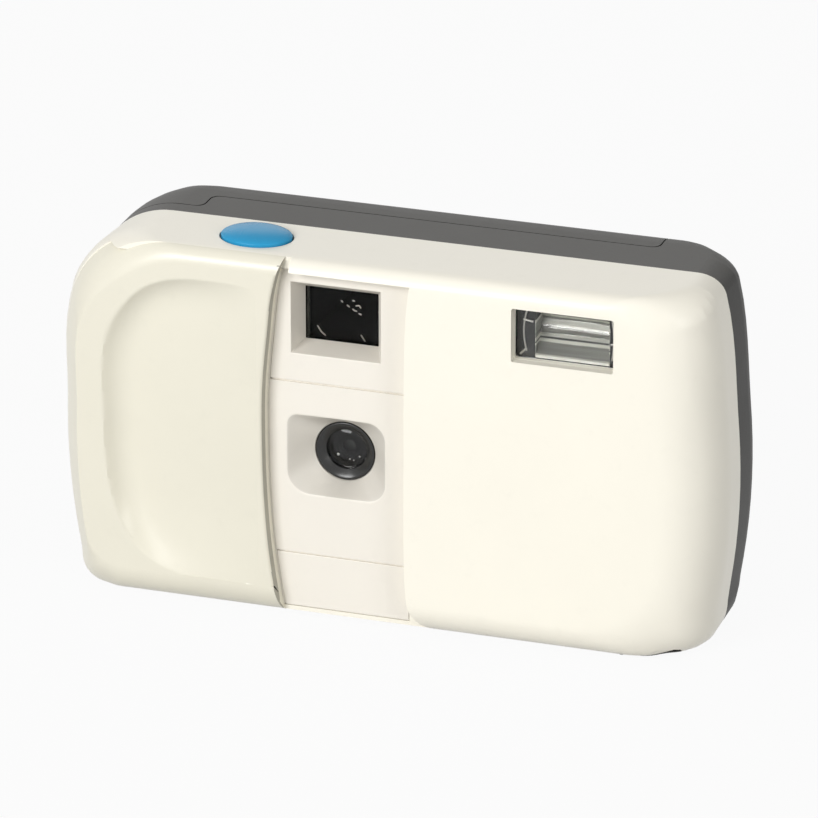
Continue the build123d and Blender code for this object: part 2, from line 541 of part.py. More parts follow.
# Main frame: chambers, film gate, light box, lens board, deck and battery sleeve in one moulding
chamber_r = CARTRIDGE_R + CARTRIDGE_PLAY
FLOOR_Z = CART_BOTTOM - THIN
ROOF_T = 0.8
with BuildPart() as main_frame:
    # Cartridge chamber, open to the back
    with BuildSketch(at_z(FLOOR_Z)):
        with Locations((CARTRIDGE_X, CARTRIDGE_Y)):
            Circle(chamber_r + THIN)
        with Locations((CARTRIDGE_X, (CARTRIDGE_Y + GATE_Y) / 2)):
            Rectangle(2 * (chamber_r + THIN), GATE_Y - CARTRIDGE_Y)
    extrude(amount=CART_TOP + ROOF_T - FLOOR_Z)
    with BuildSketch(at_z(CART_BOTTOM)):
        with Locations((CARTRIDGE_X, CARTRIDGE_Y)):
            Circle(chamber_r)
        with Locations((CARTRIDGE_X, CARTRIDGE_Y + DEPTH / 2)):
            Rectangle(2 * chamber_r, DEPTH)
    extrude(amount=CART_TOP - CART_BOTTOM, mode=Mode.SUBTRACT)
    # Take-up chamber, open to the back and towards the sprocket
    with BuildSketch(at_z(TAKE_BOTTOM - THIN)):
        with Locations((SPOOL_X, SPOOL_Y)):
            Circle(TAKE_R + THIN - 0.2)
        with Locations((SPOOL_X, (SPOOL_Y + TAKE_LEFT_END) / 2)):
            Rectangle(2 * (TAKE_R + THIN - 0.2), TAKE_LEFT_END - SPOOL_Y)
    extrude(amount=TAKE_TOP + THIN - TAKE_BOTTOM + THIN - SEAT)
    with BuildSketch(at_z(TAKE_BOTTOM)):
        with Locations((SPOOL_X, SPOOL_Y)):
            Circle(TAKE_R)
        with Locations((SPOOL_X, SPOOL_Y + DEPTH / 2)):
            Rectangle(2 * TAKE_R, DEPTH)
        with Locations((SPOOL_X + TAKE_R, TAKE_RIGHT_END + DEPTH / 2)):
            Rectangle(2 * TAKE_R, DEPTH)
    extrude(amount=TAKE_TOP - TAKE_BOTTOM, mode=Mode.SUBTRACT)
    # Gate plate and lens board tie the two chambers together
    cart_left = CARTRIDGE_X - chamber_r - THIN
    slab(-31, cart_left + THIN, GATE_Y - GATE_T, GATE_Y, BASE_Z, 49.8)
    slab(-33, cart_left + THIN, LENS_BOARD_Y - THIN, LENS_BOARD_Y, BASE_Z, 47.6)
    slab(-33, cart_left + THIN, LENS_BOARD_Y - THIN, GATE_Y, BASE_Z, BASE_Z + THIN)
    slab(-33, -20, LENS_BOARD_Y - THIN, LENS_BOARD_Y, 46, DECK_Z + THIN)
    slab(-31, -20, GATE_Y - GATE_T, GATE_Y, 46, DECK_Z + THIN)
    # Deck over the gears
    slab(-53, -20, SHELF_Y + 0.4, 8, DECK_Z, DECK_Z + THIN)
    slab(-31, -20, 7, GATE_Y, DECK_Z, DECK_Z + THIN)
    for x, y in ((-51, -5), (-45.5, -7), (-51, 6)):
        upright(x, y, TAKE_TOP + THIN - 0.4, DECK_Z + 0.2, 1.2)
    extrude(window_face(GATE_Y + 1, LENS_X, LENS_Z, GATE_W, GATE_H), amount=GATE_T + 1.8, mode=Mode.SUBTRACT)
    # Bearings and passages
    along_y(LENS_X, LENS_Z, LENS_BOARD_Y - 2, LENS_BOARD_Y + 0.1, BARREL_R + RUN, mode=Mode.SUBTRACT)
    upright(SPOOL_X, SPOOL_Y, TAKE_TOP - 1, DECK_Z + THIN + 1, SPOOL_SHAFT_R + RUN, mode=Mode.SUBTRACT)
    upright(SPOOL_X, SPOOL_Y, TAKE_BOTTOM - THIN - 1, TAKE_BOTTOM + 1, SPOOL_PIN_R + RUN, mode=Mode.SUBTRACT)
    upright(THUMB_X, THUMB_Y, TAKE_TOP - 1, TAKE_TOP + THIN + 1, THUMB_PIN_R + RUN, mode=Mode.SUBTRACT)
    upright(THUMB_X, THUMB_Y, DECK_Z - 1, DECK_Z + THIN + 1, THUMB_HUB_R + RUN, mode=Mode.SUBTRACT)
    upright(SPROCKET_X, SPROCKET_Y, BASE_Z - 1, BASE_Z + THIN + 1, SHAFT_R + RUN, mode=Mode.SUBTRACT)
    upright(SPROCKET_X, SPROCKET_Y, DECK_Z - 1, DECK_Z + THIN + 1, SHAFT_R + RUN, mode=Mode.SUBTRACT)
    slab(LEVER_X - 2.2, LEVER_X + 3, LEVER_Y - LEVER_T - 0.4, LEVER_Y + 0.25, DECK_Z - 1, DECK_Z + THIN + 1,
         mode=Mode.SUBTRACT)
    slab(LEVER_X - 1.0, LEVER_X + 5.4, LENS_BOARD_Y - THIN - 1, LENS_BOARD_Y + 1, 37.5, 40.1, mode=Mode.SUBTRACT)
    for x, z in FRAME_SCREWS:
        along_y(x, z, LENS_BOARD_Y - THIN - 1, LENS_BOARD_Y + 1, SCREW_R + 0.1, mode=Mode.SUBTRACT)
    upright(CARTRIDGE_X, CARTRIDGE_Y, FLOOR_Z - 1, CART_BOTTOM + 1, 3.4, mode=Mode.SUBTRACT)
    # Film rails, then the slot for the sprocket's teeth
    for side in (-1, 1):
        inner, outer = LENS_Z + side * 13.1, LENS_Z + side * 18.2
        slab(-31, cart_left + THIN, GATE_Y - 0.2, FILM_Y, inner - 0.5, inner + 0.5)
        slab(-31, cart_left + THIN, GATE_Y - 0.2, FILM_Y + 0.2, outer - 0.6, outer + 0.6)
    slab(-32, SPROCKET_X + 6.1, GATE_Y - GATE_T - 1, FILM_Y + 1, SPROCKET_Z - 0.4, SPROCKET_Z + SPROCKET_T + 0.4,
         mode=Mode.SUBTRACT)
    # Saddles under the viewfinder
    slab(WINDOW_X - 4, WINDOW_X + 4, LENS_BOARD_Y - THIN, LENS_BOARD_Y, 47, 48.55)
    slab(WINDOW_X - 4, WINDOW_X + 4, GATE_Y - GATE_T, GATE_Y, 49.5, 50.15)
    # Shutter lever's stud and the bracket that carries button and spring
    slab(LEVER_X - 2.1, LEVER_X + 1.7, LEVER_Y + 0.25, -7.1, DECK_Z + 0.5, LEVER_Z + 2)
    along_y(LEVER_X, LEVER_Z, LEVER_Y - LEVER_T - 0.5, LEVER_Y + 0.5, SHAFT_R)
    slab(BUTTON_X - 3.7, BUTTON_X + 5.2, -11 + SEAT, -5.5, SHELF_Z, SHELF_Z + 1)
    slab(BUTTON_X - 3.7, BUTTON_X - 2.7, -11 + SEAT, -5.5, DECK_Z + 0.5, SHELF_Z + 1)
    slab(BUTTON_X - 3.7, BUTTON_X + 5.2, -6.3, -5.5, DECK_Z + 0.5, SHELF_Z + 1)
    upright(BUTTON_X, BUTTON_Y, SHELF_Z - 1, SHELF_Z + 2, STEM_R + RUN, mode=Mode.SUBTRACT)
    # Rewind well, counter pin and bosses underneath
    upright(CARTRIDGE_X, CARTRIDGE_Y, WALL + SEAT, 5.0, WELL_R + THIN)
    upright(CARTRIDGE_X, CARTRIDGE_Y, WALL, 3.8, WELL_R, mode=Mode.SUBTRACT)
    upright(CARTRIDGE_X, CARTRIDGE_Y, WALL, 5.5, REWIND_SHAFT_R + RUN, mode=Mode.SUBTRACT)
    for x, y in ((19.8, 0), (33.2, 0), (26.5, 6.8)):
        upright(x, y, 4.5, FLOOR_Z + 0.2, 1.1)
    slab(-36, -32, LENS_BOARD_Y - THIN, 6, BASE_Z, TAKE_BOTTOM - 0.2)
    slab(-35.5, -32, LENS_BOARD_Y - THIN, LENS_BOARD_Y, BASE_Z, 47.6)
    slab(13, 14.8, LENS_BOARD_Y - THIN, LENS_BOARD_Y, BASE_Z, 47.6)
    upright(DIAL_X, DIAL_Y, DIAL_Z - 0.7, BASE_Z + 0.2, 1.0)
    upright(DIAL_X, DIAL_Y, DIAL_Z - 0.8, DIAL_Z - 0.15, 1.5)
    for x, y in CASE_SCREWS:
        upright(x, y, WALL + SEAT, BASE_Z + 0.2, HEAD_R + 0.3)
        upright(x, y, WALL, BASE_Z - 1, SCREW_R, mode=Mode.SUBTRACT)

# Light baffle: a funnel from the lens to the gate, with the shutter's plate, posts and stud in front
BAFFLE_BACK = GATE_Y - GATE_T - SEAT
with BuildPart() as light_baffle:
    loft(sections=[window_face(BAFFLE_BACK, LENS_X, LENS_Z, GATE_W + 2 * THIN, GATE_H + 2 * THIN),
                   window_face(LIGHT_Y + THIN, LENS_X, LENS_Z, 9.5, 8.0)], ruled=True)
    extrude(window_face(LIGHT_Y + THIN, LENS_X, LENS_Z, 22, 21, 1.0), amount=THIN)
    for x, z in ((-18.3, 21), (1.1, 21), (1.1, 38.4)):
        along_y(x, z, LENS_BOARD_Y + SEAT, LIGHT_Y, 1.2)
    along_y(BLADE_X, BLADE_Z, LENS_BOARD_Y + SEAT, LIGHT_Y + 0.2, 0.9)
    loft(sections=[window_face(BAFFLE_BACK + 0.1, LENS_X, LENS_Z, GATE_W, GATE_H),
                   window_face(LIGHT_Y - 0.1, LENS_X, LENS_Z, 6.0, 4.6)], ruled=True, mode=Mode.SUBTRACT)

# Battery sleeve and capacitor cradle, seated on the wall of the cartridge chamber
with BuildPart() as battery_holder:
    upright(BATTERY_X, BATTERY_Y, 6.4, 50.4, BATTERY_R + 1.3)
    slab(38.4, BATTERY_X, BATTERY_Y, 0, 8, 50.4)
    with BuildSketch(at_z(FLOOR_Z - SEAT)):
        with Locations((CARTRIDGE_X, CARTRIDGE_Y)):
            Circle(chamber_r + THIN + SEAT)
        with Locations((CARTRIDGE_X, (CARTRIDGE_Y + GATE_Y) / 2)):
            Rectangle(2 * (chamber_r + THIN + SEAT), GATE_Y - CARTRIDGE_Y)
    extrude(amount=CART_TOP + ROOF_T - FLOOR_Z + 2 * SEAT, mode=Mode.SUBTRACT)
    upright(BATTERY_X, BATTERY_Y, 6, 49.2, BATTERY_R + 0.3, mode=Mode.SUBTRACT)
    slab(CAP_X - 5, CAP_X + 3.5, -1.7, CAP_Y + 4, 6.6, CAP_BOTTOM - 0.1)
    with BuildSketch(at_z(22)):
        with Locations((CAP_X, CAP_Y)):
            Circle(CAP_R + 1)
        with Locations((CAP_X - 1, CAP_Y - 5.5)):
            Rectangle(5, 5)
        with Locations((CAP_X, CAP_Y)):
            Circle(CAP_R + RUN, mode=Mode.SUBTRACT)
        with Locations((CAP_X, CAP_Y + 6)):
            Rectangle(6.4, 6, mode=Mode.SUBTRACT)
    extrude(amount=4)
    upright(BATTERY_X, BATTERY_Y, 20, 30, BATTERY_R + 0.3, mode=Mode.SUBTRACT)

# Shutter button, its spring and the lever it pushes
with BuildPart() as shutter_button:
    with BuildSketch(at_z(HEIGHT - 0.6)):
        with Locations((BUTTON_X, BUTTON_Y)):
            Ellipse(BUTTON_W / 2, BUTTON_D / 2)
    extrude(amount=0.6 + BUTTON_PROUD)
    rim = shutter_button.faces().sort_by(Axis.Z)[-1].edges()
    fillet(rim, 0.9)
    with BuildSketch(at_z(TOP_IN - 0.9)):
        with Locations((BUTTON_X, BUTTON_Y)):
            Ellipse(BUTTON_W / 2, BUTTON_D / 2)
        with Locations((BUTTON_X, BUTTON_Y - BUTTON_D + 2.5)):
            Rectangle(BUTTON_W, BUTTON_D, mode=Mode.SUBTRACT)
    extrude(amount=HEIGHT - TOP_IN + 0.4)
    slab(BUTTON_X - 7.2, BUTTON_X + 7.2, BUTTON_Y - 2.5, BUTTON_Y + 4.4, TOP_IN - 0.9, TOP_IN - 0.1)
    upright(BUTTON_X, BUTTON_Y, SHELF_Z, TOP_IN - 0.5, STEM_R)

with BuildPart() as button_spring:
    coil(BUTTON_X, BUTTON_Y, SHELF_Z + 1, TOP_IN - 0.9, 2.4, 0.25, 4)

with BuildPart() as release_lever:
    with BuildSketch(at_y(LEVER_Y)):
        with Locations((LEVER_X, LEVER_Z)):
            Circle(2.0)
        with BuildLine():
            Polyline((LEVER_X, LEVER_Z - 1.2), (LEVER_X - LEVER_ARM, LEVER_Z), (LEVER_X - LEVER_ARM, LEVER_Z + 1.2),
                     (LEVER_X, LEVER_Z + 1.3), close=True)
        make_face()
        with Locations((LEVER_X - LEVER_ARM, LEVER_Z + 0.9)):
            Circle(1.0)
        with BuildLine():
            Polyline((LEVER_X - 1.4, LEVER_Z), (LEVER_X - 2.3, LEVER_Z - 7), (LEVER_X - 0.8, LEVER_Z - LEVER_DROP),
                     (LEVER_X + 0.8, LEVER_Z - LEVER_DROP), (LEVER_X - 0.7, LEVER_Z - 7), (LEVER_X + 1.0, LEVER_Z),
                     close=True)
        make_face()
        with Locations((LEVER_X, LEVER_Z - LEVER_DROP)):
            Circle(1.1)
        with Locations((LEVER_X, LEVER_Z)):
            Circle(SHAFT_R + RUN, mode=Mode.SUBTRACT)
    extrude(amount=LEVER_T)
    along_y(LEVER_X, LEVER_Z - LEVER_DROP, LEVER_Y - 0.3, BLADE_Y + 0.2, LEVER_PIN_R)

# Shutter blade, with the tail that the lever's pin pushes, and its return spring
with BuildPart() as shutter_blade:
    with BuildSketch(at_y(BLADE_Y)):
        with Locations((LENS_X, LENS_Z)):
            Circle(BLADE_R)
        with Locations((BLADE_X, BLADE_Z)):
            Circle(2.0)
        with BuildLine():
            Polyline((BLADE_X - 0.5, BLADE_Z - 1.6), (LENS_X, LENS_Z - 2.2), (LENS_X, LENS_Z + 2.2),
                     (BLADE_X + 0.5, BLADE_Z + 1.6), close=True)
        make_face()
        with BuildLine():
            tail = [(r * sin(radians(angle)), r * cos(radians(angle))) for r, angle in
                    ((1.0, 9), (8.0, 9), (8.0, 22), (1.0, 60))]
            Polyline(*[(BLADE_X + dx, BLADE_Z + dz) for dx, dz in tail], close=True)
        make_face()
        with Locations((BLADE_X, BLADE_Z)):
            Circle(0.95, mode=Mode.SUBTRACT)
    extrude(amount=BLADE_T)

with BuildPart() as shutter_spring:
    with BuildSketch(Plane(origin=(BLADE_X, 0, BLADE_Z), x_dir=(1, 0, 0), z_dir=(0, 0, 1))):
        for step in range(2):
            with Locations((1.4, BLADE_Y + 0.3 + 0.42 * step)):
                Circle(0.2)
    revolve(axis=Axis((BLADE_X, 0, BLADE_Z), (0, 1, 0)))
    slab(BLADE_X - 1.6, BLADE_X - 1.2, BLADE_Y + 0.1, BLADE_Y + 0.92, BLADE_Z - 0.2, BLADE_Z + 0.2)
    slab(BLADE_X - 6, BLADE_X - 1.3, BLADE_Y + 0.55, BLADE_Y + 0.9, BLADE_Z - 0.18, BLADE_Z + 0.18)

# Film advance: thumbwheel with pinion, take-up spool with gear, sprocket and counter
with BuildPart() as thumbwheel:
    extrude(ribbed_face(THUMB_Z, THUMB_X, THUMB_Y, THUMB_RIBS, THUMB_R, 0.5), amount=THUMB_T)
    with BuildSketch(at_z(THUMB_Z + THUMB_T - 1.2)):
        with Locations((THUMB_X, THUMB_Y)):
            Circle(THUMB_R - 2)
            Circle(THUMB_HUB_R, mode=Mode.SUBTRACT)
    extrude(amount=2, mode=Mode.SUBTRACT)
    upright(THUMB_X, THUMB_Y, GEAR_Z + GEAR_T, THUMB_Z + 0.2, THUMB_HUB_R)
    extrude(gear_face(GEAR_Z, THUMB_X, THUMB_Y, PINION_TEETH, PINION_PHASE), amount=GEAR_T + 0.1)
    upright(THUMB_X, THUMB_Y, TAKE_TOP + 0.2, GEAR_Z + 0.2, THUMB_PIN_R)

with BuildPart() as take_up_spool:
    upright(SPOOL_X, SPOOL_Y, TAKE_BOTTOM + 0.4, TAKE_TOP - 0.4, SPOOL_CORE_R)
    slab(SPOOL_X - 0.5, SPOOL_X + 0.5, SPOOL_Y - SPOOL_CORE_R - 1, SPOOL_Y + SPOOL_CORE_R + 1, 17, 42.5,
         mode=Mode.SUBTRACT)
    upright(SPOOL_X, SPOOL_Y, 13, 46.4, 2.4)
    upright(SPOOL_X, SPOOL_Y, TAKE_TOP - 0.6, DECK_Z + THIN - 0.2, SPOOL_SHAFT_R)
    upright(SPOOL_X, SPOOL_Y, TAKE_BOTTOM - THIN + 0.1, TAKE_BOTTOM + 0.6, SPOOL_PIN_R)
    extrude(gear_face(GEAR_Z, SPOOL_X, SPOOL_Y, GEAR_TEETH, GEAR_PHASE), amount=GEAR_T)

with BuildPart() as sprocket_wheel:
    upright(SPROCKET_X, SPROCKET_Y, DIAL_Z, DECK_Z + THIN - 0.3, SHAFT_R)
    upright(SPROCKET_X, SPROCKET_Y, SPROCKET_Z, SPROCKET_Z + SPROCKET_T, SPROCKET_R)
    upright(SPROCKET_X, SPROCKET_Y, BASE_Z + THIN + 0.1, BASE_Z + THIN + 1.0, 2.2)
    upright(SPROCKET_X, SPROCKET_Y, DECK_Z - 1.2, DECK_Z - 0.1, 2.0)
    for tooth in range(SPROCKET_TEETH):
        with Locations(Location((SPROCKET_X, SPROCKET_Y, SPROCKET_Z + SPROCKET_T / 2),
                                (0, 0, 360 * (tooth + 0.5) / SPROCKET_TEETH))):
            with Locations((SPROCKET_R + 0.3, 0, 0)):
                Box(1.2, 1.0, SPROCKET_T)
    # Counter cam with one tooth
    upright(SPROCKET_X, SPROCKET_Y, DIAL_Z, DIAL_Z + DIAL_T, 1.9)
    slab(SPROCKET_X, SPROCKET_X + 2.95, SPROCKET_Y - 0.4, SPROCKET_Y + 0.4, DIAL_Z, DIAL_Z + DIAL_T)

with BuildPart() as counter_dial:
    extrude(ribbed_face(DIAL_Z, DIAL_X, DIAL_Y, DIAL_MARKS, DIAL_R, 0.6), amount=DIAL_T)
    upright(DIAL_X, DIAL_Y, DIAL_Z, BASE_Z - 0.2, 2.2)
    upright(DIAL_X, DIAL_Y, DIAL_Z - 1, BASE_Z, 1.0 + RUN, mode=Mode.SUBTRACT)

with BuildPart() as counter_window:
    upright(DIAL_X, COUNTER_Y, 0.3, WALL + 0.2, COUNTER_R - RUN)
    upright(DIAL_X, COUNTER_Y, WALL + 0.05, WALL + 0.8, COUNTER_R + 0.8)

# Rewind crank, release button and its spring
with BuildPart() as rewind_shaft:
    upright(CARTRIDGE_X, CARTRIDGE_Y, 2.3, 3.6, REWIND_R)
    upright(CARTRIDGE_X, CARTRIDGE_Y, 3.4, 10.3, REWIND_SHAFT_R)
    upright(CARTRIDGE_X, CARTRIDGE_Y, 5.1, 10.3, 2.7)
    slab(CARTRIDGE_X - 1, CARTRIDGE_X + 1, CARTRIDGE_Y - 3, CARTRIDGE_Y + 3, 8.6, 11, mode=Mode.SUBTRACT)
    for y0 in (HANDLE_W / 2 + 0.1, -HANDLE_W / 2 - 1.0):
        slab(HANDLE_X - 1.1, HANDLE_X + 1.1, y0, y0 + 0.9, 0.5, 2.5)
    along_y(HANDLE_X, HANDLE_Z, -HANDLE_W, HANDLE_W, 0.5 + RUN, mode=Mode.SUBTRACT)

with BuildPart() as rewind_handle:
    slab(HANDLE_X, CARTRIDGE_X + 5, -HANDLE_W / 2, HANDLE_W / 2, HANDLE_Z - 0.6, HANDLE_Z + 0.65)
    along_y(HANDLE_X, HANDLE_Z, -HANDLE_W / 2, HANDLE_W / 2, 0.65)
    along_y(HANDLE_X, HANDLE_Z, -HANDLE_W / 2 - 0.9, HANDLE_W / 2 + 0.9, 0.5)
    upright(CARTRIDGE_X + 3.2, CARTRIDGE_Y, 0.1, HANDLE_Z, 1.7)

with BuildPart() as rewind_button:
    upright(RELEASE_X, RELEASE_Y, 0.3, WALL + 0.4, RELEASE_R)
    upright(RELEASE_X, RELEASE_Y, WALL + SEAT, WALL + 0.9, RELEASE_R + 0.8)
    upright(RELEASE_X, RELEASE_Y, WALL, 6.2, SHAFT_R)

with BuildPart() as rewind_button_spring:
    coil(RELEASE_X, RELEASE_Y, WALL + 0.9, BASE_Z, 1.8, 0.22, 4)

# Rear shell around the door: underside, top, right column and the strip with the hinge
with BuildPart() as rear_shell:
    add(rear_skin.part)
    add(door_zone(GAP), mode=Mode.SUBTRACT)
    # Step that the door's edge closes over
    slab(DOOR_STEP_X + 1.4, DOOR_RIGHT - 1.4, DOOR_EDGE_Y - 1.9, DOOR_EDGE_Y - 0.3, TOP_IN - 1.6, TOP_IN + 0.3)
    slab(DOOR_STEP_X + 1.4, DOOR_RIGHT - 1.4, DOOR_EDGE_Y - 1.9, DOOR_EDGE_Y + 2.4, TOP_IN - 1.6, TOP_IN - 0.3)
    slab(DIAL_X - 3, 16.5, DOOR_EDGE_Y - 1.5, DOOR_EDGE_Y - 0.3, WALL - 0.3, WALL + 1.5)
    slab(DIAL_X - 3, 16.5, DOOR_EDGE_Y - 1.5, DOOR_EDGE_Y + 2.4, WALL + 0.3, WALL + 1.5)
    slab(DOOR_RIGHT + GAP, DOOR_RIGHT + 1.0, 12.3, DOOR_IN + 0.3, 6, LATCH_Z - 7)
    slab(DOOR_RIGHT + GAP, DOOR_RIGHT + 1.0, 12.3, DOOR_IN + 0.3, LATCH_Z + 7, 58)
    # Hinge: two fixed knuckles, and room between them for the door's
    for z0 in (HINGE_BOTTOM, HINGE_TOP - KNUCKLE):
        upright(HINGE_X, HINGE_Y, z0, z0 + KNUCKLE, HINGE_R)
    upright(HINGE_X, HINGE_Y, HINGE_BOTTOM + KNUCKLE, HINGE_TOP - KNUCKLE, HINGE_RELIEF, mode=Mode.SUBTRACT)
    upright(HINGE_X, HINGE_Y, HINGE_BOTTOM - 1, HINGE_TOP + 1, PIN_R, mode=Mode.SUBTRACT)
    # Openings underneath
    upright(CARTRIDGE_X, CARTRIDGE_Y, -1, WALL + 0.1, WELL_R, mode=Mode.SUBTRACT)
    upright(RELEASE_X, RELEASE_Y, -1, WALL + 1, RELEASE_R + GAP, mode=Mode.SUBTRACT)
    for x, y in CASE_SCREWS:
        upright(x, y, -1, WALL + 1, SCREW_R + 0.15, mode=Mode.SUBTRACT)
        upright(x, y, -1, HEAD_T + 0.1, HEAD_R + 0.15, mode=Mode.SUBTRACT)
    # Latch, flash switch and ready lamp in the right column
    for z, travel in ((LATCH_Z, LATCH_TRAVEL), (SWITCH_Z, SWITCH_TRAVEL)):
        extrude(window_face(BACK_Y + 1, LATCH_X, z + travel / 2, KNOB_W + 0.6, KNOB_H + travel + 0.6, 0.8),
                amount=1 + KNOB_SET + 0.1, mode=Mode.SUBTRACT)
        extrude(window_face(BACK_Y, LATCH_X, z + travel / 2, 2.6, 3.0 + travel), amount=WALL + 1,
                mode=Mode.SUBTRACT)
    along_y(LATCH_X, LAMP_Z, DOOR_IN - 1, BACK_Y + 1, LAMP_R + RUN, mode=Mode.SUBTRACT)

# Film door with hinge knuckle, hook, eyepiece hole and thumbwheel slot
with BuildPart() as film_door:
    add(rear_skin.part)
    add(door_zone(0), mode=Mode.INTERSECT)
    slab(-WIDTH, HINGE_X + 3, 0, HINGE_EDGE_Y, 12, 47, mode=Mode.SUBTRACT)
    upright(HINGE_X, HINGE_Y, HINGE_BOTTOM + KNUCKLE + GAP, HINGE_TOP - KNUCKLE - GAP, HINGE_R)
    slab(HINGE_X - 1.2, HINGE_X + 0.3, HINGE_Y, HINGE_EDGE_Y + 0.3, HINGE_BOTTOM + KNUCKLE + GAP,
         HINGE_TOP - KNUCKLE - GAP)
    upright(HINGE_X, HINGE_Y, HINGE_BOTTOM, HINGE_TOP, PIN_R + RUN, mode=Mode.SUBTRACT)
    extrude(window_face(BACK_Y + 1, EYEPIECE_X, EYEPIECE_Z, EYEPIECE_W + 2 * TUNNEL_T + 1.2,
                        EYEPIECE_H + 2 * TUNNEL_T + 0.8, 0.6), amount=WALL + 3, mode=Mode.SUBTRACT)
    extrude(window_face(BACK_Y + 1, THUMB_X, THUMB_Z + THUMB_T / 2, 21, 10.6, 4.5), amount=1.9,
            mode=Mode.SUBTRACT)
    extrude(window_face(BACK_Y + 1, THUMB_X, THUMB_Z + THUMB_T / 2, 13.8, THUMB_T + 0.8), amount=WALL + 3,
            mode=Mode.SUBTRACT)
    # Hook that the latch goes behind
    slab(DOOR_RIGHT - 2.8, DOOR_RIGHT - 1.6, HOOK_Y, DOOR_IN + 0.3, LATCH_Z + 1.5, LATCH_Z + 5.5)
    slab(DOOR_RIGHT - 2.8, DOOR_RIGHT - 0.4, HOOK_Y, HOOK_Y + 1.0, LATCH_Z + 1.5, LATCH_Z + 5.5)
    # Posts that keep the pressure plate in place
    for x, z in PLATE_POSTS:
        along_y(x, z, FILM_Y + 1.0, DOOR_IN + 0.3, 1.0)

with BuildPart() as hinge_pin:
    upright(HINGE_X, HINGE_Y, HINGE_BOTTOM, HINGE_TOP, PIN_R - 0.01)

with BuildPart() as pressure_plate:
    slab(LENS_X - 20.4, LENS_X + 20, PLATE_Y, PLATE_Y + PLATE_T, LENS_Z - 17.6, LENS_Z + 17.8)
    slab(LENS_X - 22, SPROCKET_X + 7.4, PLATE_Y - 1, PLATE_Y + 3, SPROCKET_Z - 1.4, SPROCKET_Z + SPROCKET_T + 1.4,
         mode=Mode.SUBTRACT)
    for x, z in PLATE_POSTS:
        along_y(x, z, PLATE_Y - 1, PLATE_Y + 3, 1.0 + RUN, mode=Mode.SUBTRACT)

with BuildPart() as pressure_spring:
    with BuildSketch(at_z(LENS_Z - 4)):
        with BuildLine():
            y0, y1 = PLATE_Y + PLATE_T, DOOR_IN
            Spline((LENS_X - 13, y0 + 0.02), (LENS_X - 8, y0 + 0.9), (LENS_X, y1 - 0.32), (LENS_X + 8, y0 + 0.9),
                   (LENS_X + 13, y0 + 0.02))
            Line((LENS_X + 13, y0 + 0.02), (LENS_X + 13, y0 + 0.32))
            Spline((LENS_X + 13, y0 + 0.32), (LENS_X + 8, y0 + 1.2), (LENS_X, y1 - 0.02), (LENS_X - 8, y0 + 1.2),
                   (LENS_X - 13, y0 + 0.32))
            Line((LENS_X - 13, y0 + 0.32), (LENS_X - 13, y0 + 0.02))
        make_face()
    extrude(amount=8)

with BuildPart() as light_seals:
    slab(DOOR_RIGHT - 4.8, DOOR_RIGHT - 3.2, FILM_Y + 0.1, DOOR_IN, 8, 51)

# Slides in the right column, and the lamp
with BuildPart() as door_latch:
    slab(LATCH_X - KNOB_W / 2, LATCH_X + KNOB_W / 2, BACK_Y - KNOB_SET, BACK_Y, LATCH_Z - KNOB_H / 2,
         LATCH_Z + KNOB_H / 2)
    for rib in (-2, -1, 0, 1, 2):
        slab(LATCH_X - KNOB_W / 2 - 1, LATCH_X + KNOB_W / 2 + 1, BACK_Y - 0.3, BACK_Y + 1, LATCH_Z + 1.1 * rib - 0.25,
             LATCH_Z + 1.1 * rib + 0.25, mode=Mode.SUBTRACT)
    slab(LATCH_X - 1.1, LATCH_X + 1.1, DOOR_IN - 0.9, BACK_Y - 0.6, LATCH_Z - 1.3, LATCH_Z + 1.3)
    slab(LATCH_X - 2.8, LATCH_X + 2.2, DOOR_IN - 1.0, DOOR_IN - RUN, LATCH_Z - 4, LATCH_Z + 2.6)
    slab(DOOR_RIGHT - 1.3, LATCH_X - 1, HOOK_Y + 1.1, DOOR_IN - 0.9, LATCH_Z - 1.6, LATCH_Z + 1.3)

with BuildPart() as flash_switch:
    slab(LATCH_X - KNOB_W / 2, LATCH_X + KNOB_W / 2, BACK_Y - KNOB_SET, BACK_Y, SWITCH_Z - KNOB_H / 2,
         SWITCH_Z + KNOB_H / 2)
    for rib in (-1, 0, 1):
        slab(LATCH_X - KNOB_W / 2 - 1, LATCH_X + KNOB_W / 2 + 1, BACK_Y - 0.3, BACK_Y + 1, SWITCH_Z + 1.6 * rib - 0.3,
             SWITCH_Z + 1.6 * rib + 0.3, mode=Mode.SUBTRACT)
    slab(LATCH_X - 1.1, LATCH_X + 1.1, DOOR_IN - 0.9, BACK_Y - 0.6, SWITCH_Z - 1.3, SWITCH_Z + 1.3)
    slab(LATCH_X - 2.2, LATCH_X + 2.2, DOOR_IN - 1.0, DOOR_IN - RUN, SWITCH_Z - 3, SWITCH_Z + 3)

with BuildPart() as ready_lamp:
    along_y(LATCH_X, LAMP_Z, DOOR_IN - 1.5, BACK_Y - 0.1, LAMP_R)
    along_y(LATCH_X, LAMP_Z, DOOR_IN - 1.5, DOOR_IN - 0.1, LAMP_R + 0.6)

# Flash
with BuildPart() as flash_window:
    extrude(window_face(FRONT_Y + WALL + 0.1, FLASH_X, FLASH_Z, FLASH_W - 0.2, FLASH_H - 0.2, 0.3),
            amount=WALL + 0.1 - FLASH_SET)
    extrude(window_face(FRONT_Y + WALL + 0.7, FLASH_X, FLASH_Z, FLASH_W + 1.6, FLASH_H + 1.2, 0.3), amount=0.65)

